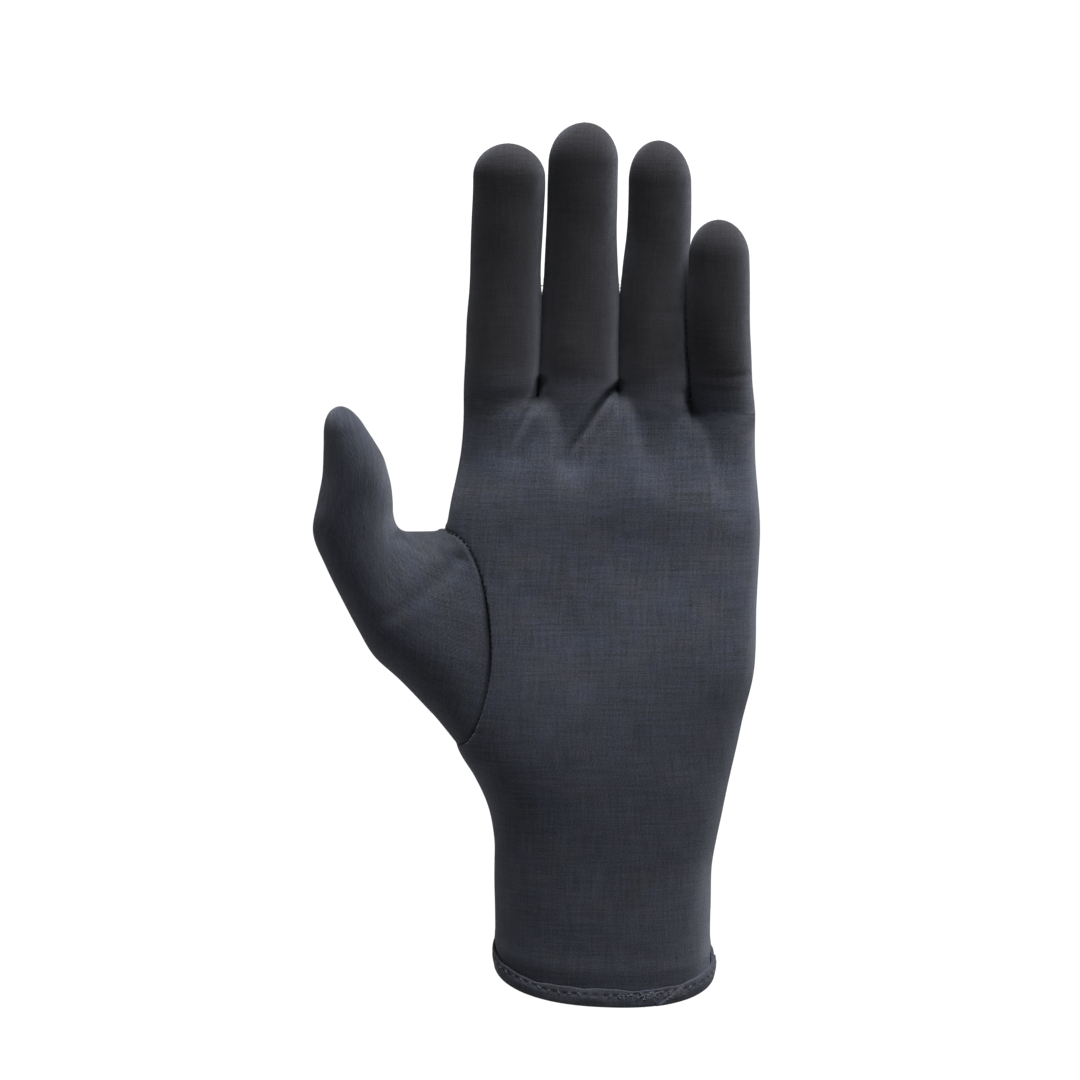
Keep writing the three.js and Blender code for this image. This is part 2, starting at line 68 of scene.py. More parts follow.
# Fingers: the sizes are the middle finger's. The table holds name, width, depth and length as shares of
# them, the fingertip's height against half its width, and the root's rise as a share of the palm's height
FINGER_WIDTH = 22.4
FINGER_DEPTH = 19.8
FINGER_LENGTH = 77.3
FINGER_GAP = 0.6
GAP_START = 0.2       # share of a finger's length over which the gaps beside it open
FINGER_TABLE = [
    ("index", 0.933, 0.98, 0.938, 0.9, -0.006),
    ("middle", 1.0, 1.0, 1.0, 1.0, -0.004),
    ("ring", 0.911, 0.96, 0.96, 1.15, 0.005),
    ("little", 0.786, 0.879, 0.715, 1.2, -0.028),
]
LAST_RISE = -0.033
# Low down neighbouring fingers press flat against each other: up to this height above the wrist, fading
# over the next stretch, and this far around the finger from its edge
CONTACT_TOP = 192.0
CONTACT_FADE = 9.0
CONTACT_SPREAD = 1.5
CONTACT_OVERLAP = 0.3
CONTACT_QUIET = 5.0    # reach around a pressed edge in which the cloth doesn't sway

# Thumb and its seam
THUMB_REACH = 47.0
THUMB_DEPTH = 21.0
SEAM_TOP = 126.5
SEAM_HEIGHT = 61.0
SEAM_REACH_PALM = 13.5
SEAM_REACH_BACK = 7.0
THUMB_SEAM_GAP = 0.14
THUMB_SEAM_ROLL = 0.16     # how deep the cloth rolls in at the thumb's seam
THUMB_ROLL_REACH = 0.6
SEAM_PITCH = 1.6           # from one stitch of the thumb's seam to the next
STITCH_TURN = 1 / 60       # half a stitch, as a turn around the seam
CROTCH_FILLET = 1.1        # how far the corner between thumb and palm is filled, and how far around it
CROTCH_REACH = 2.2
SIDE_SEAM_PITCH = 2.0
SIDE_STITCH_REACH = (0.42, 0.58)
STITCHES_FROM_CROTCH = 4.0
INNER_SEAM_DEPTH = 1.45    # from the cloth's outside to the middle of the overcast edge inside
INNER_SEAM_RADIUS = 0.42

# The cloth's soft uneven swells: height, how many waves they are made of, and the waves' lengths
SWAY = 0.32
WAVE_COUNT = 14
WAVE_SHORTEST, WAVE_LONGEST = 9.0, 60.0

# Binding of the wrist edge
BINDING_HEIGHT = 4.2
BINDING_THICKNESS = 0.8
BINDING_CLEARANCE = 0.3
BINDING_OUT = BINDING_CLEARANCE + BINDING_THICKNESS
BINDING_STITCH_PITCH = 2.9
BINDING_CAP = 0.3          # height of its rounded upper edge
BINDING_CROWN = 0.22       # how far its face swells out
CLOTH_BULGE = 0.3          # how far the cloth swells out above the binding, how high up and over what reach
BULGE_RISE = 2.8
BULGE_REACH = 2.0
# Ripples of the binding's upper edge and of its line of stitches: height, length and phase
EDGE_RIPPLES = [(0.22, 5.1, 0.0), (0.16, 2.3, 1.0), (0.1, 1.1, 2.0)]
STITCH_RIPPLES = [(0.35, 7.3, 0.0), (0.2, 2.9, 1.0)]
STITCH_DROP = 1.5          # from the binding's upper edge down to the stitches
# The binding's lapped end, as x, z, slant and width: the step up, and where the lap dies away
LAP_START = (14.7, -8.4, 1.35, 0.5)
LAP_END = (23.3, -4.3, 2.0, 6.0)
LAP_RISE = 0.25
LAP_THREADS = 46           # loose loops of thread, and the x between which they lie
LAP_THREADS_FROM, LAP_THREADS_TO = 4.0, 23.0

# Fineness of the meshes
STEPS = 36             # columns across the front of one finger, and as many across its back
PALM_ROWS = 220
PALM_CROWDING = 0.45
FINGER_ROWS = 92
DOME_ROWS = 18
THUMB_COLUMNS = 144
THUMB_ROWS = 96
THUMB_DOME_ROWS = 12
BINDING_COLUMNS = 480


def table(names, rows):
    """The columns of a table by name."""
    return dict(zip(names.split(), np.array(rows, float).T))


PALM = table("up grow drift thin forward square", [
    (0.0, 0.01, 0.005, 0.0, 0.0, 2.3),
    (0.05, 0.025, 0.003, 0.03, 0.0, 2.3),
    (0.1, 0.035, 0.002, 0.06, 0.0, 2.3),
    (0.18, 0.055, 0.002, 0.1, 0.0, 2.3),
    (0.23, 0.1, 0.007, 0.12, 0.01, 2.35),
    (0.28, 0.21, 0.009, 0.14, 0.02, 2.4),
    (0.335, 0.4, -0.003, 0.2, 0.04, 2.5),
    (0.385, 0.62, -0.02, 0.3, 0.05, 2.6),
    (0.44, 0.76, -0.021, 0.42, 0.05, 2.7),
    (0.54, 0.92, -0.007, 0.68, 0.04, 2.9),
    (0.65, 0.96, -0.008, 0.88, 0.02, 3.0),
    (0.75, 0.98, -0.001, 1.0, 0.0, 3.0),
    (0.8, 0.95, 0.005, 1.04, 0.0, 3.0),
    (0.855, 0.87, 0.013, 1.1, -0.01, 2.9),
    (0.92, 0.79, 0.016, 1.18, -0.02, 2.8),
    (1.0, 0.74, 0.019, 1.25, -0.04, 2.8),
])
LOBE_START = 0.82     # share of the palm's height at which the finger roots start to show
GROOVE_DELAY = 8.0    # how much later the grooves between them sink in

# Sections of each finger; all start with the root's
ROOT_SECTION = (0.0, 1.0, 0.0, 1.0, 0.0)
FINGER_SECTIONS = {name: table("along width drift deep bow", [ROOT_SECTION, *rows]) for name, rows in {
    "index": [
        (0.27, 1.02, 0.035, 0.99, 0.02), (0.5, 0.965, 0.065, 0.95, 0.09), (0.72, 0.99, 0.105, 0.93, 0.2),
        (0.86, 0.99, 0.12, 0.88, 0.31), (1.0, 0.95, 0.11, 0.82, 0.42)],
    "middle": [
        (0.13, 0.98, 0.015, 1.0, 0.0), (0.35, 0.965, 0.035, 0.98, 0.03), (0.57, 0.92, 0.04, 0.94, 0.11),
        (0.79, 0.9, 0.055, 0.9, 0.24), (1.0, 0.88, 0.07, 0.82, 0.4)],
    "ring": [
        (0.15, 0.965, -0.01, 0.99, 0.0), (0.45, 0.94, -0.005, 0.96, 0.05), (0.64, 0.92, 0.045, 0.93, 0.11),
        (0.83, 0.88, 0.055, 0.88, 0.22), (1.0, 0.86, 0.035, 0.8, 0.34)],
    "little": [
        (0.19, 1.01, -0.038, 0.99, 0.14), (0.51, 1.03, -0.095, 0.95, 0.34), (0.77, 1.0, -0.1, 0.9, 0.46),
        (1.0, 0.96, -0.115, 0.84, 0.58)],
}.items()}

THUMB = table("lower_left lower_up upper_left upper_up deep forward", [
    (0.13, 0.16, 0.05, 0.0, 1.36, 0.08),
    (0.31, 0.36, 0.19, 0.0, 1.34, 0.14),
    (0.49, 0.53, 0.26, 0.01, 1.26, 0.22),
    (0.6, 0.72, 0.3, 0.05, 1.16, 0.3),
    (0.7, 0.92, 0.318, 0.12, 1.08, 0.38),
    (0.79, 1.11, 0.32, 0.2, 1.03, 0.45),
    (0.86, 1.31, 0.33, 0.3, 1.0, 0.52),
    (0.83, 1.51, 0.35, 0.39, 0.97, 0.59),
    (0.8, 1.67, 0.375, 0.48, 0.9, 0.65),
    (0.79, 1.82, 0.425, 0.575, 0.8, 0.7),
    (0.788, 1.92, 0.484, 0.67, 0.68, 0.74),
])
THUMB_TIP = (0.65, 0.783, 0.76)    # left, up and forward

# Broad dents of the palm: from and to as across and up, reach and depth as shares of the palm's depth
PALM_DENTS = [
    ((0.42, 0.6), (0.6, 0.72), 0.6, 0.07),
    ((0.27, 1.0), (0.19, 0.9), 0.12, 0.06),
    ((0.51, 1.0), (0.365, 0.89), 0.12, 0.08),
    ((0.77, 0.98), (0.8, 0.92), 0.12, 0.06),
]

# Folds and creases that the palm's side shows: name, half width, depth, how much of the depth is left at
# the start and at the end, and the places (x, z) they run through. A negative depth is a ridge.
PALM_FOLDS = [
    ("index_middle", 1.2, 3.2, 1.0, 0.0,
     [(-18.1, 169.2), (-20.1, 163.8), (-22.4, 158.9), (-25.1, 153.3), (-27.3, 148.2)]),
    ("middle_ring", 1.2, 2.8, 1.0, 0.0,
     [(3.5, 167.4), (1.4, 165.7), (-1.9, 161.3), (-5.3, 155.6), (-8.8, 150.8), (-12.0, 145.8)]),
    ("below_middle_ring", 1.2, 1.6, 1.0, 0.0, [(4.7, 168.5), (4.0, 161.7), (2.4, 155.7)]),
    ("pit", 2.2, 1.9, 1.0, 0.0, [(24.3, 165.7), (26.9, 157.2), (28.3, 151.8)]),
    ("pit_left", 1.6, 1.3, 1.0, 0.0, [(24.3, 163.7), (22.7, 160.3), (20.1, 155.6)]),
    ("index_base", 3.2, 1.0, 1.0, 0.2, [(-20.7, 165.1), (-26.7, 163.8), (-32.5, 161.6), (-37.4, 158.4)]),
    ("index_side", 10.0, 1.5, 0.1, 1.0, [(-43.0, 122.0), (-41.0, 158.0)]),
    ("middle_base", 3.0, 0.4, 0.6, 0.6, [(-16.1, 169.5), (-8.4, 170.6), (0.4, 169.1)]),
    ("ring_base", 3.0, 0.3, 0.6, 0.6, [(7.0, 168.5), (13.5, 168.9), (21.5, 166.5)]),
    ("little_crease", 1.1, 0.3, 0.3, 0.9, [(27.5, 171.9), (33.8, 171.4), (40.9, 171.7)]),
    ("little_crease_low", 1.2, 0.2, 0.6, 0.3, [(27.4, 167.8), (33.6, 167.1), (41.3, 167.3)]),
    ("ring_crease", 1.5, 0.12, 0.3, 0.8, [(10.2, 190.3), (16.7, 189.6), (23.6, 190.1)]),
    ("wrist_wrinkle", 0.9, 0.45, 0.2, 0.2, [(-35.0, 60.2), (-34.5, 56.0), (-34.3, 51.7)]),
]
THUMB_FOLDS = [
    ("thumb_fold", 2.0, 1.9, 0.5, 0.1,
     [(-41.3, 119.2), (-46.2, 114.0), (-52.8, 108.6), (-60.1, 104.0), (-66.5, 101.9)]),
    ("thumb_ridge", 2.4, -1.1, 0.6, 0.2, [(-42.4, 123.6), (-48.7, 119.6), (-55.4, 114.4)]),
    ("thumb_web", 1.6, 1.0, 0.9, 0.3, [(-58.3, 125.4), (-50.8, 123.4), (-46.7, 121.5)]),
    ("thumb_low", 2.6, 0.5, 0.2, 0.2, [(-42.0, 108.5), (-50.0, 101.0), (-60.0, 95.5)]),
]
# Broad swells of the palm's side: height above the wrist, reach and rise
PALM_SWELLS = [(92.0, 24.0, 1.8), (146.0, 14.0, -0.8)]


# Curves

def mix(a, b, t):
    return a + (b - a) * t


def smooth(t):
    t = np.clip(t, 0.0, 1.0)
    return t * t * (3 - 2 * t)


def curve(keys, values):
    """The smooth curve through one column of a table."""
    last = len(keys) - 1

    def at(t):
        t = np.asarray(t, float)
        b = np.minimum(np.searchsorted(keys[1:], t, "left"), last - 1)
        a, c, d = np.maximum(b - 1, 0), b + 1, np.minimum(b + 2, last)
        span = keys[c] - keys[b]
        u = np.clip((t - keys[b]) / span, 0.0, 1.0)
        slope_in = (values[c] - values[a]) / (keys[c] - keys[a]) * span
        slope_out = (values[d] - values[b]) / (keys[d] - keys[b]) * span
        rise = values[c] - values[b]
        bend = slope_in + slope_out - 2 * rise
        return values[b] + u * (slope_in + u * (rise - slope_in - bend + u * bend))

    return at


def curves(columns, key):
    return {name: curve(columns[key], values) for name, values in columns.items() if name != key}


def points_of(x, y, z):
    return np.stack(np.broadcast_arrays(x, y, z), -1)


def unit(vectors):
    return vectors / np.maximum(np.linalg.norm(vectors, axis=-1, keepdims=True), 1e-12)


def hump(away, reach):
    return np.exp(-(away / reach) ** 2)


def lengths_along(points):
    """The length from the first of a row of points to each."""
    steps = np.linalg.norm(np.diff(points, axis=0), axis=1)
    return np.concatenate([[0.0], np.cumsum(steps)])


def segment_distance(x, z, ax, az, bx, bz):
    """How far each point is from a straight line between two places, and where along it the nearest is."""
    t = ((x - ax) * (bx - ax) + (z - az) * (bz - az)) / ((bx - ax) ** 2 + (bz - az) ** 2)
    t = np.clip(t, 0.0, 1.0)
    return np.hypot(x - mix(ax, bx, t), z - mix(az, bz, t)), t


def line_distance(x, z, places):
    """How far each point is from a line through places, and how far along it the nearest place is."""
    places = np.array(places, float)
    starts = lengths_along(places)
    nearest = np.full(np.shape(x), np.inf)
    along = np.zeros(np.shape(x))
    for a, b, start, end in zip(places, places[1:], starts, starts[1:]):
        away, t = segment_distance(x, z, *a, *b)
        closer = away < nearest
        nearest = np.where(closer, away, nearest)
        along = np.where(closer, mix(start, end, t) / starts[-1], along)
    return nearest, along


# The hand's form

FINGER_COUNT = len(FINGER_TABLE)
FINGER_WIDTHS = FINGER_WIDTH * np.array([width for _, width, *_ in FINGER_TABLE])
FINGER_DEPTHS = FINGER_DEPTH * np.array([depth for _, _, depth, *_ in FINGER_TABLE])
ROOTS_WIDTH = (FINGER_WIDTHS + FINGER_GAP).sum()
ROOT_EDGES = np.concatenate([[0.0], np.cumsum(FINGER_WIDTHS + FINGER_GAP)]) / ROOTS_WIDTH
FINGER_MIDDLES = 0.5 * (ROOT_EDGES[:-1] + ROOT_EDGES[1:])
ROOT_RISES = PALM_HEIGHT * np.array([rise for *_, rise in FINGER_TABLE] + [LAST_RISE])
palm = curves(PALM, "up")
ROOT_MIDDLE = float(palm["drift"](1.0)) * PALM_WIDTH
ROOT_FORWARD = float(palm["forward"](1.0)) * PALM_DEPTH


def finger_at(across):
    i = np.clip(np.searchsorted(ROOT_EDGES, across, "right") - 1, 0, FINGER_COUNT - 1)
    share = np.clip((across - ROOT_EDGES[i]) / (ROOT_EDGES[i + 1] - ROOT_EDGES[i]), 0.0, 1.0)
    return i, np.arccos(1 - 2 * share) / math.pi, share


def root_height(across):
    i, _, share = finger_at(across)
    return PALM_HEIGHT + mix(ROOT_RISES[i], ROOT_RISES[i + 1], share)


def dents_at(x, z, width):
    """How deep the palm's broad dents are, at places counted from the palm's middle."""
    total = 0.0
    for (left, low), (right, high), reach, depth in PALM_DENTS:
        ends = (left - 0.5) * width, low * PALM_HEIGHT, (right - 0.5) * width, high * PALM_HEIGHT
        away, _ = segment_distance(x, z, *ends)
        total = total + depth * PALM_DEPTH * hump(away, reach * PALM_DEPTH)
    return total


def palm_point(across, side, up):
    """A point of the wrist and palm: across from the thumb's side, side -1 palm or 1 back, and up."""
    width = mix(WRIST_WIDTH, PALM_WIDTH, palm["grow"](up))
    depth = mix(WRIST_DEPTH, PALM_DEPTH, palm["thin"](up))
    power = palm["square"](up)
    bulge = (1 - np.abs(2 * across - 1) ** power) ** (1 / power)
    drift = palm["drift"](up) * PALM_WIDTH
    x = drift + (across - 0.5) * width
    near_rim = (1 - np.clip(up * PALM_HEIGHT / RIM_REACH, 0, 1)) ** 2
    z = up * root_height(across) + (side * RIM_DIP * bulge - RIM_SLANT * (across - 0.5)) * near_rim
    y = side * 0.5 * depth * bulge - palm["forward"](up) * PALM_DEPTH
    y = np.where(side < 0, y + bulge * dents_at(x - drift, z, width), y)
    # The palm flattens towards the roots, and then sinks in fast between two of them.
    i, turn, _ = finger_at(across)
    lobe = np.clip((up - LOBE_START) / (1 - LOBE_START), 0, 1)
    inner = (across > 0.5 * ROOT_EDGES[1]) & (across < 0.5 * (1 + ROOT_EDGES[-2]))
    near_groove = inner * smooth(1 - np.sin(math.pi * turn) ** 2)
    flattened = smooth(lobe)
    sunk = smooth(lobe ** (1 + GROOVE_DELAY * near_groove))
    root_x = ROOT_MIDDLE + (across - 0.5) * ROOTS_WIDTH
    rounding = np.sin(math.pi * turn)
    flat_y = side * 0.5 * np.interp(across, FINGER_MIDDLES, FINGER_DEPTHS) * mix(rounding, 1.0, inner)
    root_y = side * 0.5 * FINGER_DEPTHS[i] * rounding
    y = mix(mix(y, flat_y - ROOT_FORWARD, flattened), root_y - ROOT_FORWARD, sunk)
    return points_of(mix(x, root_x, flattened), y, z)


def seam_point(turn, wider=0.0):
    """The oval seam of the thumb, from the crotch over the back to the bottom and up over the palm."""
    tall = 0.5 * SEAM_HEIGHT + wider
    side = np.where(np.sin(turn) > 0, 1.0, -1.0)
    reach = np.where(side > 0, SEAM_REACH_BACK, SEAM_REACH_PALM) + wider
    z = SEAM_TOP - 0.5 * SEAM_HEIGHT + tall * np.cos(turn)
    across = reach * np.abs(np.sin(turn)) / PALM_WIDTH
    return palm_point(across, side, z / root_height(across))


def seam_outward(turn):
    return unit(points_of(-np.abs(np.cos(turn)), np.sin(turn), 0.0))


def seam_distance(across, side, up):
    """How far a place of the hand lies outside the thumb's seam."""
    s = across * PALM_WIDTH
    z = up * root_height(across) - (SEAM_TOP - 0.5 * SEAM_HEIGHT)
    reach = np.where(side > 0, SEAM_REACH_BACK, SEAM_REACH_PALM)
    tall = 0.5 * SEAM_HEIGHT
    radius = np.sqrt((s / reach) ** 2 + (z / tall) ** 2) + 1e-9
    slope = np.hypot(s / reach ** 2, z / tall ** 2) / radius + 1e-9
    return (radius - 1) / slope


def fill_crotch(points):
    """Fills the corner where the thumb leaves the palm's edge with a soft web."""
    crotch = seam_point(np.zeros(1))
    near = hump(np.linalg.norm(points - crotch, axis=1), CROTCH_REACH)
    return points + CROTCH_FILLET * near[:, None] * unit(np.array([-1.0, 0.0, 1.0]))


# Relief that lies on the form

def front_share(normals):
    """1 on what faces the palm's side, fading away around its edge."""
    return smooth((EDGE_ON - normals[:, 1]) / (EDGE_ON - FACING))


def waves(points):
    """Soft uneven swells of about 1, as a sum of waves of differing lengths and directions."""
    rng = np.random.default_rng(3)
    total = np.zeros(points.shape[:-1])
    for _ in range(WAVE_COUNT):
        length = math.exp(rng.uniform(math.log(WAVE_SHORTEST), math.log(WAVE_LONGEST)))
        direction = unit(rng.normal(size=3)) * 2 * math.pi / length
        total += (length / WAVE_LONGEST) * np.sin(points @ direction + rng.uniform(0, 2 * math.pi))
    return total / math.sqrt(WAVE_COUNT)


def groove(away, reach, lip):
    """A groove 1 deep, with a lip beside it."""
    height, place, width = lip
    return height * hump(away - place * reach, width * reach) - hump(away, reach)


def fold_relief(points, folds):
    """Grooves with raised lips, where the folds' table says."""
    x, z = points[..., 0], points[..., 2]
    total = np.zeros(x.shape)
    for _, half, depth, start, end, places in folds:
        away, along = line_distance(x, z, places)
        total += depth * mix(start, end, smooth(along)) * groove(away, half, FOLD_LIP)
    return total


def side_edge(away):
    """An edge of a side seam: the cloth rolls in towards the seam, with a low lip beside it."""
    return EDGE_ROLL * groove(away, EDGE_REACH, EDGE_LIP)


def thumb_edge(away):
    """The same along the thumb's seam."""
    return THUMB_SEAM_ROLL * groove(away, THUMB_ROLL_REACH, EDGE_LIP)


# Skins: points with their pattern places, and triangles that face out

class Skin:
    def __init__(self):
        self.points = []
        self.uv = []
        self.side = []
        self.relief = []
        self.count = 0
        self.triangles = []

    def add(self, points, uv, side, relief):
        """Adds points and returns their numbers."""
        n = len(points)
        self.points.append(points)
        self.uv.append(np.broadcast_to(uv, (n, np.shape(uv)[-1])))
        self.side.append(np.broadcast_to(side, n))
        self.relief.append(np.broadcast_to(relief, n))
        self.count += n
        return np.arange(self.count - n, self.count)

    def join(self, lower, upper):
        """Joins two rings with as many points each."""
        a, d = lower, upper
        b, c = np.roll(lower, -1), np.roll(upper, -1)
        for corners in (np.stack([a, b, c], 1), np.stack([a, c, d], 1)):
            whole = (corners != np.roll(corners, 1, 1)).all(1)
            self.triangles.append(corners[whole])

    def close(self, ring, tip):
        self.triangles.append(np.stack([ring, np.roll(ring, -1), np.full(len(ring), tip)], 1))

    def arrays(self):
        """Points, pattern places, sides and relief as arrays, and the triangles."""
        parts = self.points, self.uv, self.side, self.relief
        return *(np.concatenate(part).astype(float) for part in parts), np.concatenate(self.triangles)


def normals_of(points, triangles):
    a, b, c = (points[triangles[:, k]] for k in range(3))
    faces = np.cross(b - a, c - a)
    total = np.zeros_like(points)
    for k in range(3):
        for axis in range(3):
            total[:, axis] += np.bincount(triangles[:, k], faces[:, axis], len(points))
    return unit(total)


def clip(data, triangles, level):
    """Keeps what lies where level is above 0, and cuts the triangles that cross it."""
    above = level[triangles] > 0
    kept = [triangles[above.all(1)]]
    made, numbers, pieces = [], {}, []

    def cut(a, b):
        key = (min(a, b), max(a, b))
        if key not in numbers:
            numbers[key] = len(data) + len(made)
            t = level[key[0]] / (level[key[0]] - level[key[1]])
            made.append(mix(data[key[0]], data[key[1]], t))
        return numbers[key]

    crossing = above.any(1) & ~above.all(1)
    for corners, up in zip(triangles[crossing].tolist(), above[crossing].tolist()):
        odd = up.index(sum(up) == 1)
        a, b, c = corners[odd:] + corners[:odd]
        ab, ca = cut(a, b), cut(c, a)
        pieces += [(a, ab, ca)] if sum(up) == 1 else [(ab, b, c), (ab, c, ca)]
    if made:
        data = np.concatenate([data, np.array(made)])
        kept.append(np.array(pieces))
    return data, np.concatenate(kept)


def wall(points, normals, triangles):
    """The closed wall of the cloth: outside, inside and the cut edges between them."""
    below = len(points)
    edges = np.concatenate([triangles[:, [0, 1]], triangles[:, [1, 2]], triangles[:, [2, 0]]])
    forward = edges[:, 0] * below + edges[:, 1]
    back = edges[:, 1] * below + edges[:, 0]
    a, b = edges[~np.isin(back, forward)].T
    rim = np.concatenate([np.stack([b, a, a + below], 1), np.stack([b, a + below, b + below], 1)])
    inner = triangles[:, ::-1] + below
    both_sides = np.concatenate([points, points - CLOTH_THICKNESS * normals])
    return both_sides, np.concatenate([triangles, inner, rim])


def compact(triangles, *arrays):
    """Leaves out the points that no triangle uses."""
    used, numbers = np.unique(triangles, return_inverse=True)
    return numbers.reshape(triangles.shape), *(array[used] for array in arrays)


def corner_places(uv, triangles, girth):
    """Pattern places of the triangles' corners, where a closed ring's last column joins its first."""
    places = uv[triangles]
    u = places[..., 0]
    around_end = np.ptp(u, axis=1) > 0.5 * girth[triangles].max(1)
    behind = around_end[:, None] & (u < u.mean(1, keepdims=True))
    places[..., 0] = u + behind * girth[triangles]
    return places


def mesh_piece(name, points, triangles, places, material, node=None):
    """A mesh object from points in millimetres, which rides on the glove. Places are the pattern's."""
    mesh = bpy.data.meshes.new(name)
    mesh.vertices.add(len(points))
    mesh.vertices.foreach_set("co", (points * MM).astype(np.float32).ravel())
    mesh.loops.add(3 * len(triangles))
    mesh.loops.foreach_set("vertex_index", triangles.astype(np.int32).ravel())
    mesh.polygons.add(len(triangles))
    mesh.polygons.foreach_set("loop_start", np.arange(0, 3 * len(triangles), 3, dtype=np.int32))
    mesh.polygons.foreach_set("use_smooth", np.ones(len(triangles), bool))
    layer = mesh.uv_layers.new(name="knit")
    layer.data.foreach_set("uv", places.astype(np.float32).ravel())
    mesh.update(calc_edges=True)
    mesh.validate()
    mesh.materials.append(material)
    piece = bpy.data.objects.new(name, mesh)
    bpy.context.scene.collection.objects.link(piece)
    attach(piece, "root")
    if node:
        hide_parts(node)


# The hand's skin

HALF = STEPS * FINGER_COUNT


def ring_columns():
    i = np.arange(2 * HALF)
    step = np.where(i <= HALF, i, 2 * HALF - i)
    finger = np.minimum(FINGER_COUNT - 1, step // STEPS)
    share = (1 - np.cos(math.pi * (step - finger * STEPS) / STEPS)) / 2
    return mix(ROOT_EDGES[finger], ROOT_EDGES[finger + 1], share), np.where(i <= HALF, -1.0, 1.0)


def ring_sides(count, span):
    """The side of each point of a closed ring whose seams are span points apart, 0 on a seam."""
    i = np.arange(count)
    return np.where(i % span == 0, 0.0, np.sign(i - 0.5 * count))


def around(points, middle):
    """Length along a row of points, counted from the middle one."""
    lengths = lengths_along(points)
    return lengths - lengths[middle]


def panel_rows(ring, middle_places):
    """For a closed ring of front and back halves: pattern places across, and the distance to the seams.

    The first place is the front panel's and the second the back panel's. They differ on the seams alone.
    """
    half = len(ring) // 2
    front = around(ring[:half + 1], half // 2)
    back = around(np.concatenate([ring[half:], ring[:1]]), half // 2)
    front_u = front + middle_places[0]
    back_u = middle_places[1] - back
    u = np.concatenate([front_u, back_u[1:-1]])
    u_behind = np.concatenate([back_u[-1:], front_u[1:-1], back_u[:-1]])
    away = np.concatenate([np.minimum(front - front[0], front[-1] - front),
                           np.minimum(back - back[0], back[-1] - back)[1:-1]])
    return u, u_behind, away


class Finger:
    """One finger's size, the curves of its sections, and where it stands."""

    def __init__(self, index):
        name, _, _, length, dome, _ = FINGER_TABLE[index]
        self.width = FINGER_WIDTHS[index]
        self.depth = FINGER_DEPTHS[index]
        self.length = length * FINGER_LENGTH
        self.section = curves(FINGER_SECTIONS[name], "along")
        self.dome_start = 1 - 0.5 * dome * self.width / self.length
        self.middle = ROOT_MIDDLE + (ROOT_EDGES[index:index + 2].mean() - 0.5) * ROOTS_WIDTH
        self.root_top = PALM_HEIGHT + ROOT_RISES[index:index + 2].mean()

    def axis(self, along):
        """Places on the finger's middle line."""
        section = self.section
        return points_of(
            self.middle + section["drift"](along) * self.width,
            -ROOT_FORWARD - section["bow"](along) * self.depth,
            self.root_top + along * self.length,
        )

    def width_at(self, along):
        """The width, which at the root takes in the gaps beside the finger."""
        return self.width * self.section["width"](along) + FINGER_GAP * (1 - smooth(along / GAP_START))

    def edge(self, side, z):
        """The sideways place of the finger's edge at a height, for the thumb's side -1 or the other 1."""
        along = np.clip((z - self.root_top) / self.length, 0.0, self.dome_start)
        return self.axis(along)[..., 0] + side * 0.5 * self.width_at(along)


def pressed_share(z):
    return 1 - smooth((z - CONTACT_TOP) / CONTACT_FADE)


def contact_reach(fingers, index, side, z):
    """How far a finger's edge spreads sideways until it meets its neighbour."""
    other = index + side
    if not 0 <= other < FINGER_COUNT:
        return np.zeros(np.shape(z))
    gap = side * (fingers[other].edge(-side, z) - fingers[index].edge(side, z))
    return pressed_share(z) * 0.5 * np.maximum(gap + CONTACT_OVERLAP, 0.0)


def finger_rings(skin, fingers, index, root, root_points, root_uv):
    finger = fingers[index]
    section, dome_start = finger.section, finger.dome_start
    rows = dome_start * np.arange(1, FINGER_ROWS + 1) / FINGER_ROWS
    rounded = mix(dome_start, 1, np.sin(0.5 * math.pi * np.arange(1, DOME_ROWS) / DOME_ROWS))
    angle = math.pi * np.arange(2 * STEPS) / STEPS
    left, right = np.cos(angle) > 0, np.cos(angle) < 0
    inner = left * (index > 0) + right * (index < FINGER_COUNT - 1)
    places = root_uv[STEPS // 2, 0], root_uv[STEPS + STEPS // 2, 0]
    ring, before, v = root, root_points, root_uv[:, 1].copy()
    for along in np.concatenate([rows, rounded]):
        close = math.sqrt(1 - min(1, max(0, (along - dome_start) / (1 - dome_start))) ** 2)
        centre = finger.axis(along)
        level = max(0.0, 1 - along / dome_start)
        points = points_of(
            centre[0] - 0.5 * finger.width_at(along) * close * np.cos(angle),
            centre[1] - 0.5 * finger.depth * section["deep"](along) * close * np.sin(angle),
            centre[2] + level ** 2 * (root_points[:, 2] - finger.root_top),
        )
        u, u_behind, away = panel_rows(points, places)
        v = v + np.linalg.norm(points - before, axis=1)
        before = points
        z = points[:, 2]
        reach = right * contact_reach(fingers, index, 1, z) - left * contact_reach(fingers, index, -1, z)
        spread = reach * hump(away, CONTACT_SPREAD)
        free = 1 - inner * pressed_share(z)
        started = mix(1.0, smooth((v - root_uv[:, 1]) / ROLL_START), inner)
        relief = free * started * side_edge(away)
        relief += SWAY * waves(points) * (1 - (1 - free) * hump(away, CONTACT_QUIET))
        ring_now = skin.add(points + points_of(spread, 0.0, 0.0), np.stack([u, v, u_behind], 1),
                            ring_sides(2 * STEPS, STEPS), relief)
        skin.join(ring, ring_now)
        ring = ring_now
    tip = skin.add(finger.axis(1.0)[None], [(places[0], v.mean(), places[1])], 0.0, -EDGE_ROLL)
    skin.close(ring, tip[0])


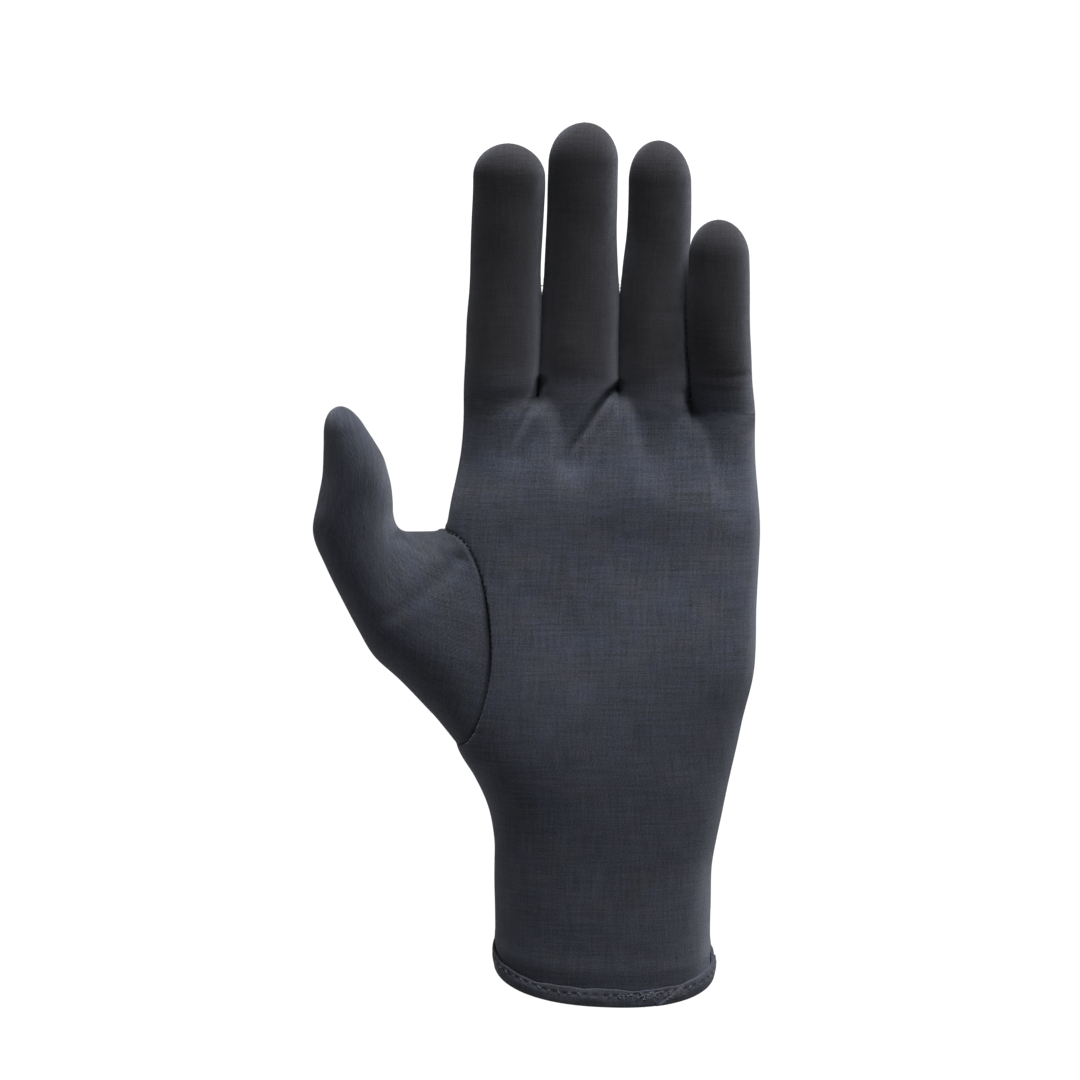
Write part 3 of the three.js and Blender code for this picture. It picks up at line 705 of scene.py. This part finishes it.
def hand_skin():
    """The hand with its fingers, with the relief of its seams, and how far each point is from the hole."""
    skin = Skin()
    across, side = ring_columns()
    sides = ring_sides(2 * HALF, HALF)
    row = np.arange(PALM_ROWS + 1)
    ups = mix(row / PALM_ROWS, np.sin(0.5 * math.pi * row / PALM_ROWS), PALM_CROWDING)
    hole = []
    ring = None
    for up in ups:
        points = palm_point(across, side, up)
        u, u_behind, away = panel_rows(points, (0.0, BACK_PATTERN))
        uv = np.stack([u, points[:, 2], u_behind], 1)
        if up == ups[-1]:
            break
        beside = seam_distance(across, side, up)
        above_bulge = up * PALM_HEIGHT - BINDING_HEIGHT - BULGE_RISE
        relief = side_edge(away) + thumb_edge(np.maximum(beside, 0))
        relief += CLOTH_BULGE * hump(above_bulge, BULGE_REACH) + SWAY * waves(points)
        ring_now = skin.add(points, uv, sides, relief)
        hole.append(beside)
        if ring is not None:
            skin.join(ring, ring_now)
        ring = ring_now
    # In the top ring the palm's and the back's point of each crotch are one.
    i = np.arange(2 * HALF)
    back_of_crotch = (i > HALF) & (i % STEPS == 0)
    relief = side_edge(away) + SWAY * waves(points)
    numbers = skin.add(points[~back_of_crotch], uv[~back_of_crotch],
                       ring_sides(2 * HALF, STEPS)[~back_of_crotch], relief[~back_of_crotch])
    top = np.zeros(2 * HALF, int)
    top[~back_of_crotch] = numbers
    top[back_of_crotch] = top[2 * HALF - i[back_of_crotch]]
    skin.join(ring, top)
    fingers = [Finger(index) for index in range(FINGER_COUNT)]
    for index in range(FINGER_COUNT):
        start, end = index * STEPS, (index + 1) * STEPS
        chosen = np.concatenate([i[start:end + 1], i[2 * HALF - end + 1:2 * HALF - start]])
        finger_rings(skin, fingers, index, top[chosen], points[chosen], uv[chosen])
    hole = np.concatenate(hole)
    return skin, np.concatenate([hole, np.full(skin.count - len(hole), np.inf)])


def palm_relief(points):
    """The palm's folds and swells, out of the palm."""
    relief = fold_relief(points, PALM_FOLDS)
    for height, reach, rise in PALM_SWELLS:
        relief += rise * hump(points[:, 2] - height, reach)
    return relief


def hand_panels(material):
    """The palm's and the back's cloth."""
    skin, hole = hand_skin()
    points, uv, side, relief, triangles = skin.arrays()
    normals = normals_of(points, triangles)
    front = front_share(normals) * palm_relief(points)
    points = fill_crotch(points + normals * relief[:, None] - points_of(0.0, front, 0.0))
    normals = normals_of(points, triangles)
    panel_side = np.sign(side[triangles].sum(1))
    for name, node, this, u in (("palm_cloth", "palm_panel", -1, 0), ("back_cloth", "back_panel", 1, 2)):
        apart = np.where(side == 0, 0.5 * SEAM_GAP * this, 0.0)
        moved = points + points_of(0.0, apart, 0.0)
        pattern = np.where((side == 0)[:, None], uv[:, [u, 1]], uv[:, :2])
        data = np.concatenate([moved, normals, pattern], 1)
        data, kept = clip(data, triangles[panel_side == this], hole - THUMB_SEAM_GAP)
        kept, data = compact(kept, data)
        shell, faces = wall(data[:, :3], unit(data[:, 3:6]), kept)
        pattern = np.concatenate([data[:, 6:], data[:, 6:]])
        mesh_piece(name, shell, faces, pattern[faces], material, node)
    return points, normals


# The thumb

def dome_rings(before, last, tip, count):
    """Rings that close a tip: each column leaves the last ring the way it came, and meets the tip level."""
    rise = tip - last.mean(0)
    height = np.linalg.norm(rise)
    quarter = 0.5 * math.pi
    leaving = quarter * height * unit(last - before)
    inward = tip - last
    level = quarter * (inward - (inward @ rise)[:, None] * rise / height ** 2)
    rings = []
    for t in np.arange(1, count) / count:
        rings.append((2 * t ** 3 - 3 * t ** 2 + 1) * last + (t ** 3 - 2 * t ** 2 + t) * leaving
                     + (3 * t ** 2 - 2 * t ** 3) * tip + (t ** 3 - t ** 2) * level)
    return rings


def thumb_skin():
    crotch, bottom = seam_point(np.array([0.0, math.pi]))
    places = np.arange(1, len(THUMB["deep"]) + 1) / len(THUMB["deep"])
    section = curves({"place": places, **THUMB}, "place")
    turns = 2 * math.pi * np.arange(THUMB_COLUMNS) / THUMB_COLUMNS
    rim = seam_point(turns)

    def reach_from(start, left, up, forward):
        return np.array([start[0] - left * THUMB_REACH, -forward * THUMB_DEPTH, start[2] + up * THUMB_REACH])

    def section_points(place):
        forward = section["forward"](place)
        lower = reach_from(bottom, section["lower_left"](place), section["lower_up"](place), forward)
        upper = reach_from(crotch, section["upper_left"](place), section["upper_up"](place), forward)
        points = mix(lower, upper, (0.5 + 0.5 * np.cos(turns))[:, None])
        points[:, 1] += 0.5 * section["deep"](place) * THUMB_DEPTH * np.sin(turns)
        return points

    def ring_points(place):
        blend = min(1.0, place / places[0])
        return mix(rim, section_points(max(place, places[0])), blend)

    rings = [ring_points(place) for place in np.arange(THUMB_ROWS + 1) / THUMB_ROWS]
    tip = reach_from(crotch, *THUMB_TIP)
    rings += dome_rings(rings[-2], rings[-1], tip, THUMB_DOME_ROWS)
    skin = Skin()
    before, ring = rings[0], None
    v = np.zeros(THUMB_COLUMNS)
    girths = []
    middle_of_front = 3 * THUMB_COLUMNS // 4
    for points in rings:
        u = around(np.concatenate([points, points[:1]]), middle_of_front)
        girths.append(np.full(THUMB_COLUMNS, u[-1] - u[0]))
        v = v + np.linalg.norm(points - before, axis=1)
        ring_now = skin.add(points, np.stack([u[:-1] + THUMB_PATTERN, v], 1), 0.0, thumb_edge(v))
        if ring is not None:
            skin.join(ring, ring_now)
        ring, before = ring_now, points
    skin.close(ring, skin.add(tip[None], [(THUMB_PATTERN, v.mean())], 0.0, 0.0)[0])
    return skin, np.concatenate(girths + [[0.0]])


def thumb_cloth(material):
    skin, girth = thumb_skin()
    points, uv, _, relief, triangles = skin.arrays()
    normals = normals_of(points, triangles)
    front = front_share(normals) * fold_relief(points, THUMB_FOLDS)
    height = relief + SWAY * waves(points) * smooth(uv[:, 1] / ROLL_START)
    points = fill_crotch(points + normals * height[:, None] - points_of(0.0, front, 0.0))
    shell, faces = wall(points, normals_of(points, triangles), triangles)
    pattern = corner_places(np.concatenate([uv, uv]), faces, np.concatenate([girth, girth]))
    mesh_piece("thumb_cloth", shell, faces, pattern, material, "thumb_piece")


# Threads

def threads(name, paths, radius, material, sides=6):
    """One mesh of short threads, each through a few points, with rounded ends."""
    points, triangles, uv = [], [], []
    angle = 2 * math.pi * np.arange(sides) / sides
    count = 0
    for path in paths:
        path = np.asarray(path, float)
        steps = len(path)
        along = unit(np.gradient(path, axis=0))
        guide = np.where(np.abs(along[:, 2:3]) < 0.8, [[0.0, 0.0, 1.0]], [[1.0, 0.0, 0.0]])
        first = unit(np.cross(along, guide))
        second = np.cross(along, first)
        t = np.linspace(-1, 1, steps)
        thick = radius * np.sqrt(np.maximum(0.04, 1 - t ** 6))
        around_it = np.cos(angle)[:, None] * first[:, None] + np.sin(angle)[:, None] * second[:, None]
        points.append((path[:, None] + thick[:, None, None] * around_it).reshape(-1, 3))
        grid = np.meshgrid(np.arange(steps) * 0.2, angle, indexing="ij")
        uv.append(np.stack(grid, -1).reshape(-1, 2) + count)
        row = count + np.arange(steps * sides).reshape(steps, sides)
        a, b = row[:-1], np.roll(row[:-1], -1, 1)
        c, d = np.roll(row[1:], -1, 1), row[1:]
        triangles += [np.stack([a, b, c], -1).reshape(-1, 3), np.stack([a, c, d], -1).reshape(-1, 3)]
        for cap in (row[0][::-1], row[-1]):
            triangles.append(np.stack([np.full(sides - 2, cap[0]), cap[1:-1], cap[2:]], 1))
        count += steps * sides
    triangles = np.concatenate(triangles)
    mesh_piece(name, np.concatenate(points), triangles, np.concatenate(uv)[triangles], material)


def evenly(points, pitch):
    """Places a pitch apart along a line of points, as numbers that count its points."""
    lengths = lengths_along(points)
    return np.interp(np.arange(0.5 * pitch, lengths[-1], pitch), lengths, np.arange(len(points)))


def thumb_stitches(material):
    """Short dark stitches that lie along the bottom of the thumb's seam."""
    turns = np.linspace(0, 2 * math.pi, 721)
    line = seam_point(turns, 0.5 * THUMB_SEAM_GAP)
    rng = np.random.default_rng(11)
    t = np.linspace(-1, 1, 5)
    paths = []
    for place in evenly(line, SEAM_PITCH):
        middle = np.interp(place, np.arange(len(turns)), turns)
        at = middle + STITCH_TURN * rng.uniform(0.85, 1.15) * t
        lift = -0.3 + 0.16 * np.cos(1.4 * t) + rng.uniform(-0.04, 0.04)
        path = seam_point(at, 0.5 * THUMB_SEAM_GAP) + seam_outward(at) * lift[:, None]
        paths.append(fill_crotch(path))
    threads("thumb_seam_stitches", paths, 0.17, material)


def side_seam_lines():
    """The two outer side seams of the palm, and both seams of every finger, as runs of point numbers."""
    palm_rows = np.arange(PALM_ROWS) * 2 * HALF
    finger_rows = FINGER_ROWS + DOME_ROWS - 1
    finger_size = finger_rows * 2 * STEPS + 1
    first = PALM_ROWS * 2 * HALF + 2 * HALF - (FINGER_COUNT - 1)
    lines = [palm_rows, palm_rows + HALF]
    for index in range(FINGER_COUNT):
        start = first + index * finger_size + np.arange(finger_rows) * 2 * STEPS
        tip = [first + (index + 1) * finger_size - 1]
        lines.append(np.concatenate([start, tip, (start + STEPS)[::-1]]))
    return lines


def seam_runs(points, normals):
    """Points and ways out along the side seams, but for the binding and for the thumb's hole in the first."""
    runs = []
    for number, line in enumerate(side_seam_lines()):
        z = points[line, 2]
        above_binding = z > BINDING_HEIGHT - 2
        parts = [above_binding]
        if number == 0:
            parts = [above_binding & (z < SEAM_TOP - SEAM_HEIGHT - 1), z > SEAM_TOP + STITCHES_FROM_CROTCH]
        runs += [(points[line[part]], normals[line[part]]) for part in parts]
    return runs


def inner_seams(runs, material):
    """The overcast edges of the panels, which lie inside the glove along its side seams."""
    paths = [run - INNER_SEAM_DEPTH * out for run, out in runs]
    threads("inner_seams", paths, INNER_SEAM_RADIUS, material)


def side_stitches(runs, material):
    """Small threads that cross the side seams."""
    rng = np.random.default_rng(12)
    t = np.linspace(-1, 1, 5)[:, None]
    paths = []
    for run, out in runs:
        for place in evenly(run, SIDE_SEAM_PITCH):
            k = int(min(place, len(run) - 2))
            centre = mix(run[k], run[k + 1], place - k)
            along = unit(run[k + 1] - run[k])
            over = unit(np.cross(along, out[k]))
            lean = along * rng.uniform(-0.12, 0.12)
            reach = rng.uniform(*SIDE_STITCH_REACH)
            paths.append(centre + t * (over * reach + lean) + out[k] * (0.3 - 0.22 * (1 - t ** 2)))
    threads("side_seam_stitches", paths, 0.13, material)


# The binding

def rim_places(turn):
    """Across and side at turns around the wrist edge."""
    return (1 - np.cos(turn)) / 2, np.where(turn <= math.pi, -1.0, 1.0)


def rim_columns():
    """Places around the wrist edge, evenly spaced: across, side, the level way out, and the whole length."""
    turn = np.linspace(0, 2 * math.pi, 4001)
    lengths = lengths_along(palm_point(*rim_places(turn), 0.0))
    even = np.interp(lengths[-1] * np.arange(BINDING_COLUMNS) / BINDING_COLUMNS, lengths, turn)
    across, side = rim_places(even)
    rim = palm_point(across, side, 0.0)
    along = np.roll(rim, -1, 0) - np.roll(rim, 1, 0)
    return across, side, unit(points_of(along[:, 1], -along[:, 0], 0.0)), lengths[-1]


def binding_profile():
    """The binding's section: out and up of each point, from the outer leaf's inside around the fold."""
    middle = -0.5 * CLOTH_THICKNESS
    floor = -BINDING_CLEARANCE
    top = BINDING_HEIGHT - BINDING_CAP
    cap = [(BINDING_OUT - 0.5 * BINDING_THICKNESS * (1 + math.cos(a)), top + BINDING_CAP * math.sin(a))
           for a in np.linspace(0, math.pi, 6)]
    face = [(BINDING_OUT + BINDING_CROWN * math.sin(math.pi * t), mix(top, floor, t))
            for t in np.linspace(0, 1, 15)[1:-1]]
    fold = [(middle + (BINDING_OUT - middle) * math.cos(a), floor - BINDING_THICKNESS * math.sin(a))
            for a in np.linspace(0, math.pi, 13)]
    inner_leaf = [(2 * middle - BINDING_OUT, mix(floor, top, t)) for t in (0.33, 0.67)]
    inner_cap = [(2 * middle - out, up) for out, up in cap[::-1]]
    slot = [(2 * middle - BINDING_CLEARANCE, floor), (BINDING_CLEARANCE, floor)]
    return np.array(cap + face + fold + inner_leaf + inner_cap + slot)


def lap_height(x, z):
    """The binding's lapped end: a slanted step up, and a second one where the lap dies away."""
    start, end = (smooth((x - at - (z - level) * slant) / width)
                  for at, level, slant, width in (LAP_START, LAP_END))
    return LAP_RISE * start * (2 - end)


def ripples(arc, rows):
    return sum(height * np.sin(arc / length + phase) for height, length, phase in rows)


def stitch_height(arc):
    return BINDING_HEIGHT - STITCH_DROP + ripples(arc, STITCH_RIPPLES)


def binding_surface(columns, section):
    """Points of the binding for a grid of section points by columns, and lengths around the wrist."""
    across, side, outward, length = columns
    arc = length * np.arange(len(across)) / len(across)
    out, up = section[:, 0][:, None], section[:, 1][:, None]
    is_face = (out > 0.9 * BINDING_OUT) & (up > -BINDING_CLEARANCE)
    high = np.clip(up / BINDING_HEIGHT, 0, 1)
    up = up + high * ripples(arc, EDGE_RIPPLES)
    wall_points = palm_point(across[None], side[None], np.maximum(0, up) / PALM_HEIGHT)
    z = palm_point(across, side, 0.0)[None, :, 2] + up
    # The stitches press the face in, the cloth between them is uneven, and the lap lies on the palm's side.
    between_stitches = np.cos(2 * math.pi * arc / BINDING_STITCH_PITCH)
    pressed = is_face * (0.16 + 0.14 * between_stitches) * hump(up - stitch_height(arc), 0.45)
    puffed = is_face * 0.12 * np.sin(arc / 1.7 + 3 * np.sin(arc / 9)) * np.sin(math.pi * high)
    lap = np.where((side[None] < 0) & (out > 0.5), lap_height(wall_points[..., 0], z), 0.0)
    points = wall_points + outward[None] * (out - pressed + puffed + lap)[..., None]
    points[..., 2] = z
    return points, arc


def binding(material):
    columns = rim_columns()
    section = binding_profile()
    points, arc = binding_surface(columns, section)
    rows, count = points.shape[:2]
    grid = np.meshgrid(lengths_along(section) + BINDING_PATTERN, arc, indexing="ij")
    uv = np.stack(grid, -1).reshape(-1, 2)
    skin = Skin()
    numbers = [skin.add(row, (0, 0), 0.0, 0.0) for row in points]
    for i in range(rows):
        skin.join(numbers[(i + 1) % rows], numbers[i])
    triangles = np.concatenate(skin.triangles)
    pattern = corner_places(uv[:, ::-1], triangles, np.full(rows * count, columns[3]))[..., ::-1]
    mesh_piece("binding_cloth", points.reshape(-1, 3), triangles, pattern, material, "wrist_binding")


def binding_stitches(material):
    """Uneven stitches along the binding, and the messy threads where its ends lap."""
    columns = rim_columns()
    length = columns[3]
    rng = np.random.default_rng(21)

    def on_face(arc, up, lift):
        """Points on the outer face, at lengths around the wrist and heights on the binding."""
        place = np.asarray(arc) / length * BINDING_COLUMNS
        k = np.floor(place).astype(int) % BINDING_COLUMNS
        t = (place - np.floor(place))[:, None]
        after = (k + 1) % BINDING_COLUMNS
        made = []
        for column, share in ((k, 1 - t), (after, t)):
            chosen = tuple(part[column] for part in columns[:3])
            wall_points = palm_point(chosen[0], chosen[1], up / PALM_HEIGHT)
            base = palm_point(chosen[0], chosen[1], 0.0)[:, 2]
            lap = np.where(chosen[1] < 0, lap_height(wall_points[:, 0], base + up), 0.0)
            point = wall_points + chosen[2] * (BINDING_OUT + lift + lap)[:, None]
            point[:, 2] = base + up
            made.append(point * share)
        return made[0] + made[1]

    paths = []
    for number, arc in enumerate(np.arange(0.5 * BINDING_STITCH_PITCH, length, BINDING_STITCH_PITCH)):
        t = np.linspace(-1, 1, 6)
        half = rng.uniform(0.3, 0.75)
        slope = rng.uniform(-0.3, 0.3) + (0.25 if number % 2 else -0.25)
        height = stitch_height(arc) + rng.uniform(-0.15, 0.15) + slope * t
        lift = rng.uniform(-0.04, 0.06) + 0.1 * (1 - t ** 2)
        paths.append(on_face(arc + half * t, height, lift))
    threads("binding_stitches", paths, 0.13, material)

    # The loose loops lie around the lap, on the palm's side.
    x = palm_point(columns[0], columns[1], 0.0)[:, 0]
    front = np.nonzero((columns[1] < 0) & (x > LAP_THREADS_FROM) & (x < LAP_THREADS_TO))[0]
    arcs = front / BINDING_COLUMNS * length
    loops = []
    for _ in range(LAP_THREADS):
        start = rng.uniform(arcs.min(), arcs.max())
        height = rng.uniform(1.2, BINDING_HEIGHT - 0.9)
        t = np.linspace(0, 1, 9)
        heading = rng.uniform(0, 2 * math.pi)
        bend = rng.uniform(-3.2, 3.2)
        size = rng.uniform(0.5, 1.3)
        turn = heading + bend * t
        run = np.cumsum(np.stack([np.cos(turn), np.sin(turn)], 1) * size / 8, 0)
        up = np.clip(height + run[:, 1], 0.5, BINDING_HEIGHT - 0.5)
        loops.append(on_face(start + run[:, 0], up, 0.16 + 0.16 * np.sin(math.pi * t)))
    threads("lap_threads", loops, 0.085, material, sides=5)


# Materials

class Nodes:
    """Builds a material's nodes in plain calls."""

    def __init__(self, name):
        self.material = bpy.data.materials.new(name)
        self.material.use_nodes = True
        self.tree = self.material.node_tree
        self.shader = self.tree.nodes["Principled BSDF"]

    def add(self, kind, inputs, output=0, **settings):
        node = self.tree.nodes.new(kind)
        for key, value in settings.items():
            setattr(node, key, value)
        for key, value in inputs.items():
            self.feed(node.inputs[key], value)
        return node.outputs[output]

    def feed(self, socket, value):
        if isinstance(value, bpy.types.NodeSocket):
            self.tree.links.new(value, socket)
        else:
            socket.default_value = value

    def math(self, operation, a, b=0.0):
        return self.add("ShaderNodeMath", {0: a, 1: b}, operation=operation)

    def vector(self, x, y, z=0.0):
        return self.add("ShaderNodeCombineXYZ", {0: x, 1: y, 2: z})

    def total(self, first, *others):
        for other in others:
            first = self.math("ADD", first, other)
        return first

    def places(self):
        """The pattern's place, and its two parts."""
        place = self.add("ShaderNodeUVMap", {}, uv_map="knit")
        return place, *(self.add("ShaderNodeSeparateXYZ", {0: place}, output) for output in (0, 1))

    def noise(self, vector, scale, detail=3.0, roughness=0.55):
        return self.add("ShaderNodeTexNoise", {"Vector": vector, "Scale": scale, "Detail": detail,
                                               "Roughness": roughness})

    def grain(self, u, v, fine_u, fine_v, seed, detail, roughness):
        """Noise that is stretched along the pattern's two ways."""
        place = self.vector(self.math("MULTIPLY", u, fine_u), self.math("MULTIPLY", v, fine_v), seed)
        return self.noise(place, 1.0, detail, roughness)

    def spread(self, value, low, high, to_low=0.0, to_high=1.0):
        return self.add("ShaderNodeMapRange", {0: value, 1: low, 2: high, 3: to_low, 4: to_high})

    def blend(self, share, a, b):
        """A colour between two, which are sockets or constants."""
        return self.add("ShaderNodeMix", {0: share, 6: a, 7: b}, output=2, data_type="RGBA")

    def scaled(self, colour, light):
        return self.add("ShaderNodeVectorMath", {0: colour, 3: light}, operation="SCALE")

    def bump(self, strength, distance, height):
        return self.add("ShaderNodeBump", {"Strength": strength, "Distance": distance * MM, "Height": height})

    def surface(self, inputs):
        """Feeds the shader and returns the material."""
        for name, value in inputs.items():
            self.feed(self.shader.inputs[name], value)
        return self.material


# The knit's noises: fineness across and along, seed, detail and roughness
KNIT_GRAINS = {
    "courses": (0.07, 1.3, 0.0, 4.0, 0.7),
    "wales": (1.2, 0.09, 5.0, 4.0, 0.7),
    "flecks": (1.7, 1.9, 9.0, 2.0, 0.8),
    "patches": (0.09, 0.12, 13.0, 3.0, 0.6),
    "patches_two": (0.14, 0.11, 31.0, 3.0, 0.6),
    "fibres": (3.0, 3.0, 3.0, 3.0, 0.8),
}
YARN_CONTRAST = 0.34


def knit_material(name, colour, finger_shaded_colour, wale, course):
    """Fine jersey: columns of V-shaped loops, a flecked yarn, soft patches of tint, painted shade on the
    fingers and low on the pattern, and a soft sheen.
    """
    n = Nodes(name)
    place, u, v = n.places()
    sway = n.spread(n.noise(place, 0.16), 0.3, 0.7, -0.35, 0.35)
    grain = {key: n.grain(u, v, *row) for key, row in KNIT_GRAINS.items()}

    # Loops: each wale has two legs that lean together, course by course.
    wale_share = n.math("FRACT", n.math("DIVIDE", n.math("ADD", u, sway), wale))
    from_middle = n.math("ABSOLUTE", n.math("SUBTRACT", wale_share, 0.5))
    beside_leg = n.math("SUBTRACT", n.math("MULTIPLY", from_middle, 4.0), 1.0)
    leg = n.math("SUBTRACT", 1.0, n.math("POWER", beside_leg, 2.0))
    rows_up = n.math("DIVIDE", n.math("ADD", v, sway), course)
    leaning = n.math("FRACT", n.math("SUBTRACT", rows_up, n.math("MULTIPLY", from_middle, 1.5)))
    bead = n.math("SINE", n.math("MULTIPLY", leaning, math.pi))
    loops = n.math("MULTIPLY", leg, n.math("ADD", 0.45, n.math("MULTIPLY", bead, 0.55)))

    # Broad patches of tint. Above the palm the fingers get a darker, browner colour: painted shade, with the
    # warm cast of painted bounced light.
    tinted = n.blend(n.spread(grain["patches"], 0.42, 0.68), (*TINTS[0], 1), (*TINTS[1], 1))
    tinted = n.blend(n.spread(grain["patches_two"], 0.5, 0.75, 0.0, 0.7), tinted, (*TINTS[2], 1))
    tinted = n.blend(0.5, (*colour, 1), tinted)
    tinted = n.blend(n.spread(v, 156.0, 176.0), tinted, (*finger_shaded_colour, 1))

    # Streaks along courses and wales, and flecks of the yarn. Where v is low, towards the wrist, the colour
    # is painted darker: painted shade, as less light reaches there.
    light = n.total(
        n.spread(grain["courses"], 0.3, 0.7, -YARN_CONTRAST, YARN_CONTRAST),
        n.spread(grain["wales"], 0.3, 0.7, -YARN_CONTRAST, YARN_CONTRAST),
        n.spread(grain["flecks"], 0.35, 0.75, -YARN_CONTRAST, 2.2 * YARN_CONTRAST),
        n.spread(loops, 0.0, 1.0, 0.7, 1.15),
    )
    # Painted shade: darker where v is low, towards the wrist.
    light = n.math("MULTIPLY", light, n.spread(v, 10.0, 115.0, 0.78, 1.0))
    height = n.total(loops, *(n.math("MULTIPLY", grain[key], share)
                              for key, share in (("fibres", 0.9), ("courses", 0.8), ("wales", 0.6))))
    return n.surface({
        "Base Color": n.scaled(tinted, light),
        "Normal": n.bump(0.7, 0.14, height),
        "Roughness": n.spread(grain["fibres"], 0.3, 0.7, 0.8, 0.95),
        "Specular IOR Level": 0.08,
        "Sheen Weight": 0.04,
        "Sheen Roughness": 0.42,
        "Sheen Tint": (0.78, 0.84, 1.0, 1),
    })


def thread_material(name, colour):
    """Twisted sewing thread, lighter and darker along its turns."""
    n = Nodes(name)
    place, u, v = n.places()
    twist = n.math("SINE", n.math("ADD", n.math("MULTIPLY", u, 16.0), v))
    light = n.total(n.spread(twist, -1.0, 1.0, 0.75, 1.1), n.spread(n.noise(place, 0.9), 0.3, 0.7, -0.2, 0.2))
    return n.surface({
        "Base Color": n.scaled(colour, light),
        "Normal": n.bump(0.5, 0.05, twist),
        "Roughness": 0.7,
        "Specular IOR Level": 0.3,
    })


CLOTH_COLOUR = (0.0082, 0.0092, 0.0128)
# Painted shade: the fingers' colour is darker than the palm's for the shade they lie in, and browner for
# painted warm bounced light.
FINGER_SHADED_COLOUR = (0.0037, 0.0036, 0.0045)
BINDING_COLOUR = (0.0088, 0.0094, 0.012)
TINTS = ((0.0074, 0.009, 0.0145), (0.0096, 0.0094, 0.0106), (0.0092, 0.0087, 0.0138))


# Stage, light and camera

CAMERA_TARGET = Vector((-0.0181, 0.0, 0.1238))
CAMERA_DISTANCE = 1.2
CAMERA_ELEVATION = math.radians(6)
FIELD_WIDTH = 0.31104      # width of the picture at the target
FLOOR_LEVEL = -2.6
FLOOR_RADIUS = 60.0
FLOOR_SIDES = 96
KEY_PLACE = Vector((0.34, -0.33, 1.48))
KEY_SIZE = (0.7, 0.5)
KEY_POWER = 212
SKY_STRENGTH = 1.12


def camera():
    data = bpy.data.cameras.new("camera")
    data.sensor_width = 36.0
    data.lens = data.sensor_width * CAMERA_DISTANCE / FIELD_WIDTH
    made = bpy.data.objects.new("camera", data)
    bpy.context.scene.collection.objects.link(made)
    back = Vector((0.0, -math.cos(CAMERA_ELEVATION), math.sin(CAMERA_ELEVATION)))
    aim_at_target(made, CAMERA_TARGET + back * CAMERA_DISTANCE)
    bpy.context.scene.camera = made


def floor():
    """A wide pale floor, far enough below that it casts nothing on the glove."""
    mesh = bpy.data.meshes.new("floor")
    rim = [(FLOOR_RADIUS * math.cos(a), FLOOR_RADIUS * math.sin(a), FLOOR_LEVEL)
           for a in np.linspace(0, 2 * math.pi, FLOOR_SIDES, endpoint=False)]
    mesh.from_pydata(rim, [], [list(range(len(rim)))])
    n = Nodes("floor_paint")
    smudges = n.noise(n.add("ShaderNodeTexCoord", {}, output=3), 2.0)
    mesh.materials.append(n.surface({
        "Base Color": (0.93, 0.93, 0.93, 1),
        "Roughness": n.spread(smudges, 0.3, 0.7, 0.85, 0.95),
    }))
    made = bpy.data.objects.new("floor", mesh)
    bpy.context.scene.collection.objects.link(made)


def aim_at_target(thing, place):
    thing.location = place
    thing.rotation_euler = (CAMERA_TARGET - place).to_track_quat("-Z", "Y").to_euler()


def lighting():
    """A white room, and one softbox above the glove and in front of it."""
    world = bpy.data.worlds.new("studio")
    bpy.context.scene.world = world
    world.use_nodes = True
    background = world.node_tree.nodes["Background"]
    background.inputs["Color"].default_value = (1, 1, 1, 1)
    background.inputs["Strength"].default_value = SKY_STRENGTH
    data = bpy.data.lights.new("key_above", "AREA")
    data.shape = "RECTANGLE"
    data.size, data.size_y = KEY_SIZE
    data.energy = KEY_POWER
    key = bpy.data.objects.new("key_above", data)
    bpy.context.scene.collection.objects.link(key)
    aim_at_target(key, KEY_PLACE)


cloth = knit_material("liner_knit", CLOTH_COLOUR, FINGER_SHADED_COLOUR, WALE, COURSE)
binding_cloth = knit_material("binding_knit", BINDING_COLOUR, CLOTH_COLOUR, COURSE, WALE)
dark_thread = thread_material("dark_thread", (0.006, 0.006, 0.008))
side_thread = thread_material("side_thread", (0.02, 0.021, 0.025))
pale_thread = thread_material("pale_thread", (0.017, 0.0175, 0.021))

points, normals = hand_panels(cloth)
thumb_cloth(cloth)
thumb_stitches(dark_thread)
side_runs = seam_runs(points, normals)
inner_seams(side_runs, side_thread)
side_stitches(side_runs, side_thread)
binding(binding_cloth)
binding_stitches(pale_thread)
floor()
lighting()
camera()
bpy.context.scene.view_settings.view_transform = "Standard"
